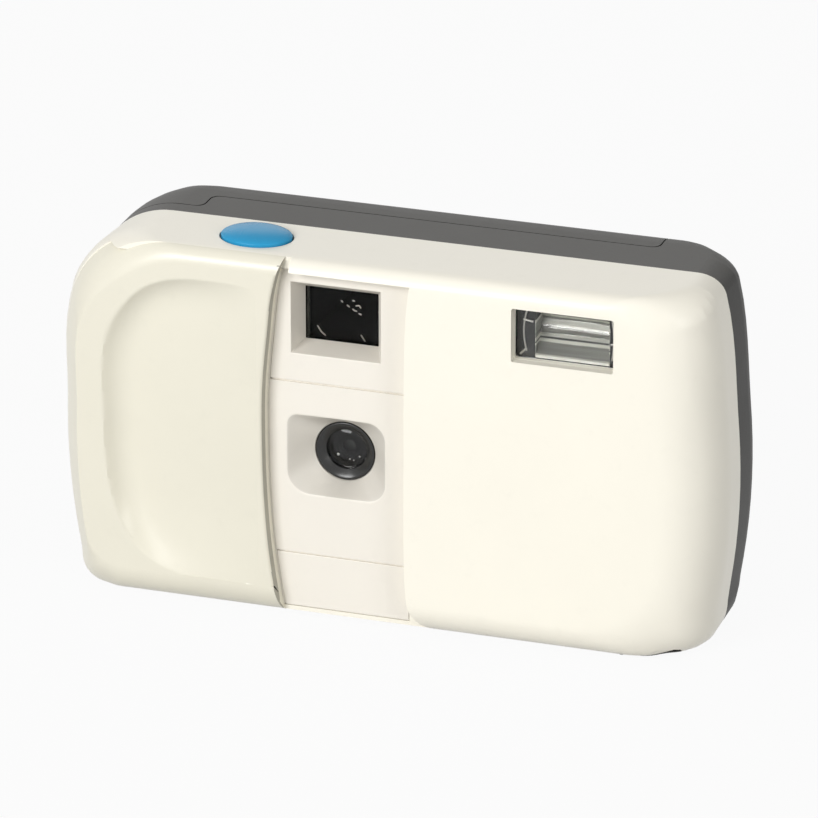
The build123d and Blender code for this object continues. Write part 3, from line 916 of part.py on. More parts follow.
with BuildPart() as flash_reflector:
    with BuildSketch(at_x(FLASH_X - REFLECTOR_W / 2)):
        with BuildLine():
            outer = [(REFLECTOR_BACK - REFLECTOR_DEPTH * (dz / 4.35) ** 2, FLASH_Z + dz) for dz in
                     (-4.35, -3.5, -2.5, -1.6, -0.8, 0, 0.8, 1.6, 2.5, 3.5, 4.35)]
            inner = [(y - 0.55 if abs(z - FLASH_Z) < 2 else y, FLASH_Z + (z - FLASH_Z) * 0.9) for y, z in outer]
            Polyline(*outer, *reversed(inner), close=True)
        make_face()
    extrude(amount=REFLECTOR_W)
    for x0 in (FLASH_X - REFLECTOR_W / 2, FLASH_X + REFLECTOR_W / 2 - REFLECTOR_T):
        with BuildSketch(at_x(x0)):
            with BuildLine():
                Polyline(*outer, close=True)
            make_face()
        extrude(amount=REFLECTOR_T)
    slab(FLASH_X - 2, FLASH_X + 2, REFLECTOR_BACK - 0.3, FLASH_BOARD_Y - BOARD_T - 0.05, FLASH_Z - 1, FLASH_Z + 1)
    with Locations((FLASH_X, TUBE_Y, FLASH_Z)):
        Cylinder(TUBE_R + RUN, REFLECTOR_W + 2, rotation=(0, 90, 0), mode=Mode.SUBTRACT)

with BuildPart() as flash_tube:
    with Locations((FLASH_X, TUBE_Y, FLASH_Z)):
        Cylinder(TUBE_R, REFLECTOR_W + 3.4, rotation=(0, 90, 0))

with BuildPart() as flash_board:
    slab(13.8, 51, FLASH_BOARD_Y - BOARD_T, FLASH_BOARD_Y, 54, 64)

with BuildPart() as flash_capacitor:
    upright(CAP_X, CAP_Y, CAP_BOTTOM, CAP_BOTTOM + CAP_LENGTH, CAP_R)
    rims = flash_capacitor.edges().filter_by(GeomType.CIRCLE)
    fillet(rims, 0.5)
    for dx in (-1.6, 1.6):
        upright(CAP_X + dx, CAP_Y, CAP_BOTTOM + CAP_LENGTH - 0.2, CAP_BOTTOM + CAP_LENGTH + 3, 0.4)

# Battery, contacts and battery door
with BuildPart() as battery:
    upright(BATTERY_X, BATTERY_Y, BATTERY_BOTTOM, BATTERY_BOTTOM + BATTERY_LENGTH - 1, BATTERY_R)
    rims = battery.edges().filter_by(GeomType.CIRCLE)
    fillet(rims, 0.4)
    upright(BATTERY_X, BATTERY_Y, BATTERY_BOTTOM + 1, BATTERY_BOTTOM + BATTERY_LENGTH, 1.9)

with BuildPart() as battery_contact:
    upright(BATTERY_X, BATTERY_Y, BATTERY_BOTTOM + BATTERY_LENGTH + 0.05, 49.2, BATTERY_R)

with BuildPart() as battery_door:
    add(cover_outside)
    slab(BATTERY_HINGE_X, BATTERY_X + BATTERY_HOLE - 0.15, BATTERY_Y - BATTERY_HOLE + 0.15,
         BATTERY_Y + BATTERY_HOLE - 0.15, -1, WALL, mode=Mode.INTERSECT)
    along_y(BATTERY_HINGE_X, BATTERY_HINGE_Z, BATTERY_Y - BATTERY_HOLE + 0.15, BATTERY_Y + BATTERY_HOLE - 0.15,
            BATTERY_HINGE_Z)
    along_y(BATTERY_HINGE_X, BATTERY_HINGE_Z, BATTERY_Y - BATTERY_HOLE - 0.4, BATTERY_Y + BATTERY_HOLE + 0.4, 0.45)

with BuildPart() as battery_spring:
    coil(BATTERY_X, BATTERY_Y, WALL, BATTERY_BOTTOM - 0.05, 3.0, 0.3, 3)

# Screws: four hold the frame in the front cover, two hold the rear shell to the frame
with BuildPart() as frame_screws:
    for x, z in FRAME_SCREWS:
        along_y(x, z, LENS_BOARD_Y, LENS_BOARD_Y + HEAD_T, HEAD_R)
        along_y(x, z, LENS_BOARD_Y - THIN - 3.0, LENS_BOARD_Y + 0.3, SCREW_R)
        slab(x - 1.4, x + 1.4, LENS_BOARD_Y + HEAD_T - 0.5, LENS_BOARD_Y + 3, z - 0.25, z + 0.25,
             mode=Mode.SUBTRACT)
        slab(x - 0.25, x + 0.25, LENS_BOARD_Y + HEAD_T - 0.5, LENS_BOARD_Y + 3, z - 1.4, z + 1.4,
             mode=Mode.SUBTRACT)

with BuildPart() as case_screws:
    for x, y in CASE_SCREWS:
        upright(x, y, 0.1, HEAD_T, HEAD_R)
        upright(x, y, HEAD_T - 0.3, BASE_Z - 1.5, SCREW_R - 0.02)
        slab(x - 1.4, x + 1.4, y - 0.25, y + 0.25, -1, 0.6, mode=Mode.SUBTRACT)
        slab(x - 0.25, x + 0.25, y - 1.4, y + 1.4, -1, 0.6, mode=Mode.SUBTRACT)

pieces = {
    "front_cover": front_cover, "grip_panel": grip_panel, "viewfinder_panel": viewfinder_panel,
    "lens_panel": lens_panel, "lower_panel": lower_panel, "lens_ring": lens_ring, "lens_barrel": lens_barrel,
    "front_lens": front_lens, "aperture_disc": aperture_disc, "rear_lens": rear_lens,
    "viewfinder_window": viewfinder_window, "viewfinder_tunnel": viewfinder_tunnel,
    "eyepiece_lens": eyepiece_lens, "main_frame": main_frame, "light_baffle": light_baffle,
    "battery_holder": battery_holder, "shutter_button": shutter_button,
    "button_spring": button_spring, "release_lever": release_lever, "shutter_blade": shutter_blade,
    "shutter_spring": shutter_spring, "thumbwheel": thumbwheel, "take_up_spool": take_up_spool,
    "sprocket_wheel": sprocket_wheel, "counter_dial": counter_dial, "counter_window": counter_window,
    "rewind_shaft": rewind_shaft, "rewind_handle": rewind_handle, "rewind_button": rewind_button,
    "rewind_button_spring": rewind_button_spring, "rear_shell": rear_shell, "film_door": film_door,
    "hinge_pin": hinge_pin, "pressure_plate": pressure_plate, "pressure_spring": pressure_spring,
    "light_seals": light_seals, "door_latch": door_latch, "flash_switch": flash_switch,
    "ready_lamp": ready_lamp, "flash_window": flash_window, "flash_reflector": flash_reflector,
    "flash_tube": flash_tube, "flash_board": flash_board, "flash_capacitor": flash_capacitor,
    "battery": battery, "battery_contact": battery_contact, "battery_door": battery_door,
    "battery_spring": battery_spring, "frame_screws": frame_screws, "case_screws": case_screws,
}
os.makedirs("parts", exist_ok=True)
for name, piece in pieces.items():
    piece.part.label = name
    export_step(piece.part, f"parts/{name}.step")
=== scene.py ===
"""Looks of the reusable film camera.

Each operator makes one piece, or one group of like pieces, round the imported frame. Shapes are worked out in
millimetres, with x to the right, y to the back and z up; lengths in the finishes are metres.
"""

import json
from math import cos, pi, radians, sin

import bmesh
import bpy
import numpy as np
from bpy.props import FloatProperty, FloatVectorProperty, PointerProperty
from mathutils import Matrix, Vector


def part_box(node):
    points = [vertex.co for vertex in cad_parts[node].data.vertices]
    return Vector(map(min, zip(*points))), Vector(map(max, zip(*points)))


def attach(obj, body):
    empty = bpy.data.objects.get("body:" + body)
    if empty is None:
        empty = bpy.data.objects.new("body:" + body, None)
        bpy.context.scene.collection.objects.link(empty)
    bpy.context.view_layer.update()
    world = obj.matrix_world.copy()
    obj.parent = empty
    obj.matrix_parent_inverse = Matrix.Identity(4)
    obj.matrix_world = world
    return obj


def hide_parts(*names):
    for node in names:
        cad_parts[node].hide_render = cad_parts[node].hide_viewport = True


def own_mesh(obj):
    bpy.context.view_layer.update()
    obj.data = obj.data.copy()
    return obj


bl_info = {
    "name": "Reusable film camera",
    "version": (1, 0, 0),
    "blender": (4, 5, 0),
    "location": "3D View > Sidebar > Film camera",
    "description": "Builds the visible pieces and finishes of a small film camera",
    "category": "Object",
}

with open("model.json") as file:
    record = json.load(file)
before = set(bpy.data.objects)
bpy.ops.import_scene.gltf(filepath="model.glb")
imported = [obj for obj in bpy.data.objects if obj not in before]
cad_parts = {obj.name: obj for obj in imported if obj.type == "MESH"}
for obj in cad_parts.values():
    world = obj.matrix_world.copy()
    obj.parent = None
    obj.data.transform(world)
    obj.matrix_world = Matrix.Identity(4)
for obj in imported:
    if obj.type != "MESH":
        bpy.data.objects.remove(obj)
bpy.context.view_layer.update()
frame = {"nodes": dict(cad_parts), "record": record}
NODES = frame["nodes"]
BEHAVIOUR = frame["record"]["behaviour"]
BODY_OF = {node: body for body, nodes in BEHAVIOUR["bodies"].items() for node in nodes}
SLOT_OF = {part["node"]: part["material_slot"] for part in frame["record"]["subparts"]}
MM = 0.001
TRAVEL = {joint["name"]: joint["range_m"][1] / MM for joint in BEHAVIOUR["joints"] if joint["type"] == "slide"}

# The body's outline, as in the frame: bowed ends, straight top and underside, four round corners
HALF, HIGH, BOW_R, BOW_Z = 59.0, 66.6, 125.0, 29.0
FRONT_Y = -17.25
TOP_ROUND, LOW_ROUND, FLARE_DEPTH = 3.0, 6.0, 7.0

# The grip's curved right edge, as x at heights z
EDGE_X = (-17.9, -19.15, -20.05, -20.85, -21.1, -20.95, -20.1, -19.0, -18.0, -16.7)
EDGE_Z = (-1.0, 5.8, 12.5, 23.0, 33.0, 43.0, 52.0, 60.8, 64.5, 67.6)

# How much fuller the upper ends are drawn than in the frame, and how much tighter the lower corners, which are
# given by their side, the x of their centre and their radius
FULLER_RIGHT, FULLER_LEFT, TIGHTER = 1.8, 1.3, 0.12
LOWER_CORNERS = ((1, 48.26, 9.0), (-1, 49.93, 7.0))

# Finger dish: centre and sides, half-width, half-heights and power of its superellipse, width of its wall and of
# the wall's eased start
DISH_X, DISH_Z, DISH_LEFT, DISH_RIGHT = -30.0, 34.5, -49.9, -22.0
DISH_REACH, DISH_UP, DISH_DOWN, DISH_POWER = 19.9, 26.7, 29.0, 2.8
DISH_WALL, DISH_EASE = 7.0, 0.15

# Centre panels, the viewfinder's recess, the pan round the lens, and the centres of lens and flash
PANEL_Y = -13.9
RECESS_X, RECESS_Z, RECESS_HALF_X, RECESS_HALF_Z = -9.3, 54.2, 8.2, 6.9
PAN_X, PAN_Z, PAN_HALF = -8.85, 30.0, (8.95, 7.4)
LENS_X, LENS_Z = -8.6, 29.7
FLASH_X, FLASH_Z = 32.1, 58.0
FLASH_HALF, FLASH_CORNER = (8.85, 4.75), 0.45
TROUGH_LEFT, TROUGH_RIGHT = 26.5, 39.5

# Bright wires behind the viewfinder window and the flash window, as lines of x and z
FINDER_WIRES = (((-14.2, 51.4), (-13.5, 50.3), (-12.7, 49.7)), ((-6.4, 50.6), (-5.6, 49.4)),
                ((-3.3, 55.3), (-2.75, 54.5)), ((-9.95, 56.5), (-9.6, 56.2)), ((-7.9, 56.75), (-7.5, 56.65)),
                ((-8.9, 55.8), (-8.4, 55.45)), ((-7.9, 55.2), (-7.5, 54.9), (-7.1, 54.85)),
                ((-7.3, 55.8), (-6.7, 55.95), (-6.4, 55.5)), ((-6.8, 54.5), (-6.3, 54.3)))
FLASH_WIRES = (((24.0, 53.7), (25.1, 54.9)), ((24.5, 60.0), (26.2, 59.7)), ((39.7, 57.2), (40.6, 57.5)))

# Rivets of the stop: x and z from the lens's centre, radius
RIVETS = ((-1.85, -1.6, 0.26), (0.1, -2.2, 0.15), (1.75, -1.6, 0.17), (0.75, -2.35, 0.13))

# Bands of the flash reflector, painted reflections where bright and painted shadow lines where dark: lowest and highest
# z, how bright
PAINTED_REFLECTOR_BANDS = ((59.95, 64.0, 0.06), (59.4, 59.95, 2.0), (57.3, 57.52, 0.35), (56.05, 56.75, 2.1),
              (55.8, 56.05, 0.2), (55.4, 55.8, 2.3), (53.0, 53.95, 2.3))

# Springs: node, radius of the coil and of its wire, turns, the joint that presses it and the end that stays
SPRINGS = (("button_spring", 2.15, 0.25, 6, "shutter_press", "low"),
           ("rewind_button_spring", 1.75, 0.2, 6, "rewind_release_press", "high"),
           ("battery_spring", 3.0, 0.28, 4, None, None))

# Finishes of the frame's own shapes: those that get rounded edges, and those that stay as they are
SKINS = (("cover", "front_cover"), ("panel", "viewfinder_panel lower_panel"),
         ("shell", "rear_shell film_door battery_door"),
         ("control", "door_latch flash_switch rewind_shaft rewind_handle rewind_button"),
         ("frame", "main_frame"), ("baffle", "viewfinder_tunnel lens_barrel"), ("spool", "take_up_spool"),
         ("frame", "light_baffle battery_holder"), ("control", "thumbwheel"), ("dial", "counter_dial"),
         ("spool", "sprocket_wheel release_lever"), ("lamp", "ready_lamp"), ("black_metal", "pressure_plate"),
         ("capacitor", "flash_capacitor"), ("cell", "battery"), ("steel", "frame_screws case_screws"))
PLAIN = (("window", "viewfinder_window eyepiece_lens counter_window"), ("lens", "rear_lens"),
         ("black_metal", "shutter_blade"), ("steel", "shutter_spring hinge_pin"),
         ("chrome", "pressure_spring battery_contact"), ("foam", "light_seals"), ("board", "flash_board"))

# Stage: share of the floor that shows as white, the world's light on the object, the lamps by name, place, width,
# height and power, and the camera
FLOOR_GLOW, AMBIENT = 0.94, 0.36
LAMP_AIM = (0, 0, 0.03)
LAMPS = (("key", (-0.36, -0.94, 0.50), 0.5, 0.4, 8.6), ("fill", (0.95, -0.6, 0.4), 0.4, 0.4, 3.0),
         ("top", (0.0, 0.25, 0.95), 0.9, 0.6, 0.2), ("back", (-0.4, 0.9, 0.5), 0.7, 0.5, 0.9))
AZIMUTH, ELEVATION, DISTANCE = radians(18.07), radians(22.92), 1.10925
TARGET, FOCAL, SENSOR, SHIFT = (0, -0.0011, 0.03335), 284.7, 36.0, (0.0004, 0.0121)


def place(node):
    """Lowest and highest corner of a frame node, in millimetres."""
    low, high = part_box(node)
    return np.array(low) / MM, np.array(high) / MM


class FilmCameraLooks(bpy.types.PropertyGroup):
    """Sizes and colours that a user would change."""
    dish_depth: FloatProperty(
        name="Dish depth", description="Depth of the finger dish in the grip",
        default=0.0035, min=0.0, max=0.0035, unit="LENGTH")
    edge_round: FloatProperty(
        name="Edge rounding", description="Rounding of the moulded edges",
        default=0.00018, min=0.0, max=0.0005, unit="LENGTH")
    button_crown: FloatProperty(
        name="Button crown", description="Height of the button's dome over its rim",
        default=0.0005, min=0.0, max=0.001, unit="LENGTH")
    cover_white: FloatVectorProperty(
        name="Cover", description="Colour of the flash block and top",
        default=(0.905, 0.870, 0.765), size=3, min=0, max=1, subtype="COLOR")
    grip_ivory: FloatVectorProperty(
        name="Grip", description="Colour of the grip",
        default=(0.768, 0.738, 0.624), size=3, min=0, max=1, subtype="COLOR")
    panel_white: FloatVectorProperty(
        name="Centre panels", description="Colour of the centre panels",
        default=(0.832, 0.792, 0.715), size=3, min=0, max=1, subtype="COLOR")
    shell_grey: FloatVectorProperty(
        name="Shell", description="Colour of the dark rear shell",
        default=(0.055, 0.054, 0.051), size=3, min=0, max=1, subtype="COLOR")
    button_blue: FloatVectorProperty(
        name="Button", description="Colour of the shutter button",
        default=(0.028, 0.300, 0.545), size=3, min=0, max=1, subtype="COLOR")


# Shader maths

class Value:
    """A socket of a node tree; sums, differences and products of such values add Math nodes."""

    def __init__(self, shader, socket):
        self.shader, self.socket = shader, socket

    def _math(self, operation, *terms):
        return self.shader.node("ShaderNodeMath", {"operation": operation}, dict(enumerate(terms))).value("Value")

    def __add__(self, other):
        return self._math("ADD", self, other)

    def __radd__(self, other):
        return self._math("ADD", other, self)

    def __sub__(self, other):
        return self._math("SUBTRACT", self, other)

    def __rsub__(self, other):
        return self._math("SUBTRACT", other, self)

    def __mul__(self, other):
        return self._math("MULTIPLY", self, other)

    def __rmul__(self, other):
        return self._math("MULTIPLY", other, self)

    def clamped(self):
        """The value held between 0 and 1."""
        return self.shader.node("ShaderNodeClamp", {}, {"Value": self}).value("Result")

    def above(self, edge, soft):
        """0 below edge, 1 above it, with a soft step."""
        return self.shader.node("ShaderNodeMapRange", {"interpolation_type": "SMOOTHSTEP"}, {
            "Value": self, "From Min": edge - soft, "From Max": edge + soft}).value("Result")


class Made:
    """One node of a shader, with its outputs as values."""

    def __init__(self, shader, node):
        self.shader, self.node = shader, node

    def value(self, name):
        return Value(self.shader, self.node.outputs[name])


class Shader:
    """A node tree, and the one method that adds nodes to it."""

    def __init__(self, tree):
        self.tree = tree

    def node(self, kind, settings, sockets):
        """One node of a type, with its settings made first and then the values or links of its sockets."""
        made = self.tree.nodes.new(kind)
        for key, value in settings.items():
            setattr(made, key, value)
        for key, value in sockets.items():
            self.feed(made.inputs[key], value)
        return Made(self, made)

    def feed(self, socket, value):
        """Gives a socket its link, colour or number."""
        if isinstance(value, Value):
            self.tree.links.new(value.socket, socket)
        elif socket.type == "RGBA" and len(value) == 3:
            socket.default_value = (*value, 1)
        else:
            socket.default_value = value

    def backdrop_rays(self):
        """1 or more for rays that see the white background, which are the camera's own and those of gloss and glass."""
        path = self.node("ShaderNodeLightPath", {}, {})
        return path.value("Is Camera Ray") + path.value("Is Glossy Ray") + path.value("Is Transmission Ray")


class Finish(Shader):
    """A material and the values that its nodes pass on."""

    def __init__(self, name, **sockets):
        self.material = bpy.data.materials.new(name)
        self.material.use_nodes = True
        super().__init__(self.material.node_tree)
        self.surface = self.tree.nodes["Principled BSDF"]
        self.set(**sockets)
        self.where = self.node("ShaderNodeTexCoord", {}, {}).value("Object")

    def stretched(self, **how):
        """Object coordinates turned or scaled."""
        return self.node("ShaderNodeMapping", {}, {"Vector": self.where, **how}).value("Vector")

    def upward(self, vector):
        """The z of a vector."""
        return self.node("ShaderNodeSeparateXYZ", {}, {"Vector": vector}).value("Z")

    def noise(self, size, detail=3.0, roughness=0.5, where=None):
        """Cloudy pattern from 0 to 1 whose lumps are about size metres."""
        return self.node("ShaderNodeTexNoise", {}, {
            "Vector": where or self.where, "Scale": 1 / size, "Detail": detail, "Roughness": roughness}).value("Fac")

    def mix(self, amount, first, second):
        """Colour between first, at 0, and second, at 1; a Mix node has its colours at inputs 6 and 7, output 2."""
        return self.node("ShaderNodeMix", {"data_type": "RGBA"}, {"Factor": amount, 6: first, 7: second}).value(2)

    def bump(self, height, depth):
        """Normal of a surface raised by height times depth metres."""
        return self.node("ShaderNodeBump", {}, {"Height": height, "Distance": depth, "Strength": 1.0}).value("Normal")

    def set(self, **values):
        """Feeds the surface's sockets, named with _ for a space."""
        for key, value in values.items():
            self.feed(self.surface.inputs[key.replace("_", " ")], value)
        return self.material


def shade(colour, factor):
    """A colour made darker or lighter."""
    return tuple(min(c * factor, 1.0) for c in colour)


def moulded(name, colour, roughness, grain_size, grain_depth, mottle=0.04, wear=0.0, painted_top_light=1.0, **sockets):
    """Injection-moulded plastic: a faint mottle, a fine grain, handling marks in the gloss and pale rubbed places.

    Where the top factor is over 1, faces that look up are that much lighter: painted light on the tops, varied a little
    by the dust noise."""
    finish = Finish(name, **sockets)
    cloud = finish.noise(0.021, 4.0, 0.55)
    dust = finish.noise(0.0035, 5.0, 0.6)
    grain = finish.noise(grain_size, 2.0, 0.6)
    tone = finish.mix(cloud.above(0.5, 0.35), shade(colour, 1 - mottle), shade(colour, 1 + mottle))
    tone = finish.mix(dust.above(0.66, 0.1) * 0.25, tone, shade(colour, 0.93))
    if wear > 0:
        rubbed = finish.node("ShaderNodeNewGeometry", {}, {}).value("Pointiness").above(0.53, 0.02)
        tone = finish.mix((rubbed * dust.above(0.45, 0.2) * wear).clamped(), tone, shade(colour, 2.2))
    # painted light: faces that look up are lightened as if they caught more light
    if painted_top_light > 1:
        up = finish.upward(finish.node("ShaderNodeTexCoord", {}, {}).value("Normal")).above(0.65, 0.3)
        tone = finish.mix(up * (0.85 + dust * 0.3), tone, shade(colour, painted_top_light))
    gloss = roughness * 0.85 + cloud * roughness * 0.2 + dust * roughness * 0.12
    return finish.set(Base_Color=tone, Roughness=gloss, Normal=finish.bump(grain, grain_depth))


def clear(name, tint, roughness, index):
    """Clear moulded plastic or glass with faint smears."""
    finish = Finish(name, IOR=index, Transmission_Weight=1.0)
    smear = finish.noise(0.004)
    return finish.set(Base_Color=finish.mix(smear, tint, shade(tint, 0.97)), Roughness=roughness + smear * 0.02)


def plated(name, colour, roughness, size=0.0006):
    """Bright metal with fine scratches."""
    finish = Finish(name, Metallic=1.0)
    scratch = finish.noise(size, where=finish.stretched(Scale=(1.0, 1.0, 14.0)))
    return finish.set(Base_Color=finish.mix(scratch, shade(colour, 0.9), colour),
                      Roughness=roughness + scratch * 0.12, Normal=finish.bump(scratch, 0.00001))


def sheet_with_painted_bands(name, colour):
    """Bright sheet with fine lines along x and broad light and dark bands by height, which are painted reflections and
    painted shadow.
    """
    finish = Finish(name, Metallic=0.8)
    lines = finish.noise(1 / 1500, 4.0, where=finish.stretched(Scale=(0.02, 0.3, 1.0)))
    tone = finish.mix(lines.above(0.5, 0.18), shade(colour, 0.8), shade(colour, 1.1))
    height, soft = finish.upward(finish.where), 0.00007
    # each band paints a reflection (over 1) or a shadow line (under 1) into the colour
    for low, high, factor in PAINTED_REFLECTOR_BANDS:
        stripe = height.above(low * MM, soft) - height.above(high * MM, soft)
        tone = finish.mix(stripe * (0.75 + lines * 0.25), tone, shade(colour, factor))
    return finish.set(Base_Color=tone, Roughness=0.42 + lines * 0.2, Normal=finish.bump(lines, 0.00006))


def foam(name, colour):
    """Open-celled foam strip."""
    finish = Finish(name, Sheen_Weight=0.3)
    cells = finish.node("ShaderNodeTexVoronoi", {}, {"Vector": finish.where, "Scale": 2500.0}).value("Distance")
    return finish.set(Base_Color=finish.mix(cells, shade(colour, 0.5), shade(colour, 1.6)),
                      Roughness=0.95 - cells * 0.1, Normal=finish.bump(cells, 0.0002))


def printed_board(name):
    """Green circuit board with copper tracks under the lacquer."""
    finish = Finish(name, Coat_Weight=0.4)
    tracks = finish.node("ShaderNodeTexBrick", {"offset": 0.35}, {
        "Vector": finish.stretched(Rotation=(pi / 2, 0, 0)), "Scale": 260.0, "Mortar Size": 0.06,
        "Mortar Smooth": 0.1, "Brick Width": 0.9, "Row Height": 0.32}).value("Fac")
    lacquer = finish.noise(0.006)
    ground = finish.mix(lacquer, (0.012, 0.085, 0.03), (0.02, 0.12, 0.045))
    return finish.set(Base_Color=finish.mix(tracks, ground, (0.07, 0.22, 0.07)), Roughness=0.35 + lacquer * 0.15,
                      Normal=finish.bump(tracks, 0.00004))


def cell_sleeve(name, colour, band, low, high):
    """Printed sleeve from height low to high with a coloured band at the top, bare metal at both ends."""
    finish = Finish(name, Coat_Weight=0.3)
    height, soft, band_height = finish.upward(finish.where), 0.0001, 0.011
    sleeve = height.above(low, soft) - height.above(high, soft)
    printed = finish.mix(height.above(high - band_height, soft), colour, band)
    return finish.set(Base_Color=finish.mix(sleeve, (0.6, 0.6, 0.6), printed), Metallic=1.0 - sleeve,
                      Roughness=0.3 + finish.noise(0.01) * 0.1)


FINISH = {}


def make_finishes(looks):
    """All the materials, by the names that the operators use.

    Moulded ones give their name, colour, roughness, size and depth of the grain, and mottle."""
    grip, panel, shell = looks.grip_ivory, looks.panel_white, looks.shell_grey
    FINISH.update(
        cover=moulded("warm_white_cover", looks.cover_white, 0.34, 0.0006, 0.000004, 0.012, Specular_IOR_Level=0.3),
        grip=moulded("ivory_grip", grip, 0.30, 0.0007, 0.000004, 0.015, Specular_IOR_Level=0.4),
        # groove: the grip's colour at half, painted shade on the groove wall
        groove=moulded("painted_shade_groove", shade(grip, 0.5), 0.6, 0.0007, 0.000004, 0.03),
        panel=moulded("white_panel", panel, 0.42, 0.0005, 0.000007, 0.012),
        # pan: the panel's colour at 0.8, painted shade in the bowl round the lens
        pan=moulded("painted_shade_pan", shade(panel, 0.80), 0.5, 0.0005, 0.000007, 0.012),
        # recess: the panel's colour at 0.9, painted shade in the viewfinder's recess and on the groove ledge
        recess=moulded("painted_shade_recess", shade(panel, 0.90), 0.5, 0.0005, 0.000007, 0.012),
        # the shell's upward faces are lightened 2.2 times: painted light on its top
        shell=moulded("dark_grey_shell", shell, 0.42, 0.00042, 0.000022, 0.06, wear=0.15, painted_top_light=2.2,
                      Specular_IOR_Level=0.05),
        control=moulded("dark_grey_control", shade(shell, 1.05), 0.4, 0.0004, 0.00001, 0.05, wear=0.35),
        frame=moulded("black_frame", (0.016, 0.016, 0.016), 0.62, 0.0005, 0.00002, 0.1),
        ring=moulded("black_ring", (0.012, 0.012, 0.0115), 0.24, 0.0004, 0.000004, 0.08, wear=0.2),
        button=moulded("blue_button", looks.button_blue, 0.26, 0.0006, 0.000003, 0.02, Specular_IOR_Level=0.15),
        baffle=moulded("black_baffle", (0.004, 0.004, 0.004), 0.85, 0.0005, 0.00002, 0.1, Specular_IOR_Level=0.05),
        pane=moulded("pane_edge", (0.065, 0.065, 0.055), 0.3, 0.0006, 0.000004, 0.3),
        spool=moulded("black_spool", (0.02, 0.02, 0.021), 0.4, 0.0005, 0.000008, 0.08),
        dial=moulded("white_dial", (0.72, 0.71, 0.66), 0.5, 0.0005, 0.000008, 0.02),
        lamp=moulded("orange_lamp", (0.75, 0.2, 0.03), 0.18, 0.0008, 0.000002, 0.03, Transmission_Weight=0.35),
        window=clear("clear_window", (0.97, 0.975, 0.97), 0.01, 1.15),
        lens=clear("coated_glass", (0.93, 0.93, 0.92), 0.0, 1.3),
        flash=clear("flash_window", (0.985, 0.985, 0.98), 0.01, 1.3),
        tube=clear("tube_glass", (0.97, 0.97, 0.95), 0.02, 1.47),
        # the reflector's bands are painted reflections and painted shadow
        reflector=sheet_with_painted_bands("flash_reflector", (0.40, 0.40, 0.365)),
        chrome=plated("bright_sheet", (0.86, 0.86, 0.85), 0.16),
        steel=plated("plated_steel", (0.62, 0.61, 0.58), 0.26, 0.0004),
        black_metal=plated("blackened_sheet", (0.05, 0.05, 0.052), 0.42),
        foam=foam("seal_foam", (0.02, 0.02, 0.02)),
        board=printed_board("flash_circuit"),
        cell=cell_sleeve("cell_sleeve", (0.03, 0.03, 0.035), (0.55, 0.27, 0.08), 0.0052, 0.0466),
        capacitor=cell_sleeve("capacitor_sleeve", (0.02, 0.03, 0.09), (0.35, 0.36, 0.4), 0.0086, 0.0354),
    )


# Surfaces

def smooth_step(share):
    """0 at 0 and 1 at 1, level at both ends: three squares less two cubes."""
    share = np.clip(share, 0, 1)
    return share * share * (3 - 2 * share)


def rounding(radius, depth):
    """How far a quarter-round stands back at a depth: radius less the root of (radius squared less rest squared)."""
    rest = radius - np.minimum(depth, radius)
    return radius - np.sqrt(radius ** 2 - rest ** 2)


def grid_faces(rows, columns, wrap=False):
    """Corner numbers of the quads of a grid, row by row, closing the last column on the first if it wraps."""
    across = columns if wrap else columns - 1
    row, column = np.meshgrid(np.arange(rows - 1), np.arange(across), indexing="ij")
    nearer = row * columns + column
    beside = row * columns + (column + 1) % columns
    return np.stack([nearer, beside, beside + columns, nearer + columns], -1).reshape(-1, 4)


def fan(ring, centre):
    """Triangles from each side of a closed ring of point numbers to one centre."""
    ring = np.asarray(ring)
    return np.stack([ring, np.roll(ring, -1), np.full(len(ring), centre)], -1)


def capped(rings, centres=None):
    """Closed skin over a row of rings of points, with fans from the first and the last ring to their centres."""
    rows, columns = rings.shape[:2]
    count, ring = rows * columns, np.arange(columns)
    centres = rings[[0, -1]].mean(1) if centres is None else centres
    return np.concatenate([rings.reshape(-1, 3), centres]), [
        grid_faces(rows, columns, wrap=True), fan(ring, count), fan(ring + count - columns, count + 1)]


def stacked(flat, depths):
    """Grid of points from rows of x and z and the depth of each row."""
    flat, depths = np.array(flat), np.array(depths, float)
    return np.stack([flat[..., 0], depths[:, None] + 0 * flat[..., 0], flat[..., 1]], -1)


def prism(outline, start, stop):
    """Closed block: an outline of (y, z) points carried along x from start to stop."""
    outline = np.asarray(outline, float)
    rings = np.stack([np.column_stack([np.full(len(outline), x), outline]) for x in (start, stop)])
    return capped(rings, [[x, *outline.mean(0)] for x in (start, stop)])


def rectangle(near, far, low, high):
    """Outline of a block: from depth near to far and from height low to high."""
    return [(near, low), (near, high), (far, high), (far, low)]


def wire(path, radius, sides=10):
    """Round tube: circles of the radius set square to the path."""
    path = np.asarray(path, float)
    along = np.gradient(path, axis=0)
    along /= np.linalg.norm(along, axis=1)[:, None]
    side = np.cross(along, [0.31, 0.17, 1.0])
    side /= np.linalg.norm(side, axis=1)[:, None]
    up = np.cross(side, along)
    angle = np.linspace(0, 2 * pi, sides, endpoint=False)
    rings = path[:, None] + radius * (np.cos(angle)[None, :, None] * side[:, None]
                                      + np.sin(angle)[None, :, None] * up[:, None])
    return capped(rings, path[[0, -1]])


def looped(rings):
    """Skin over a row of rings of points, the last of which meets the first."""
    return rings, [grid_faces(*rings.shape[:2], wrap=True)]


def turned(centre, axis, profile, steps=96):
    """Surface of revolution: the profile's points (radius, height) carried round the axis through centre."""
    angle = np.linspace(0, 2 * pi, steps, endpoint=False)
    radius, height = [column[:, None] + 0 * angle for column in np.array(profile, float).T]
    first, second = radius * np.cos(angle), radius * np.sin(angle)
    stacks = {"Y": (first, height, second), "Z": (first, second, height), "X": (height, first, second)}
    return looped(np.stack(stacks[axis], -1) + np.array(centre))


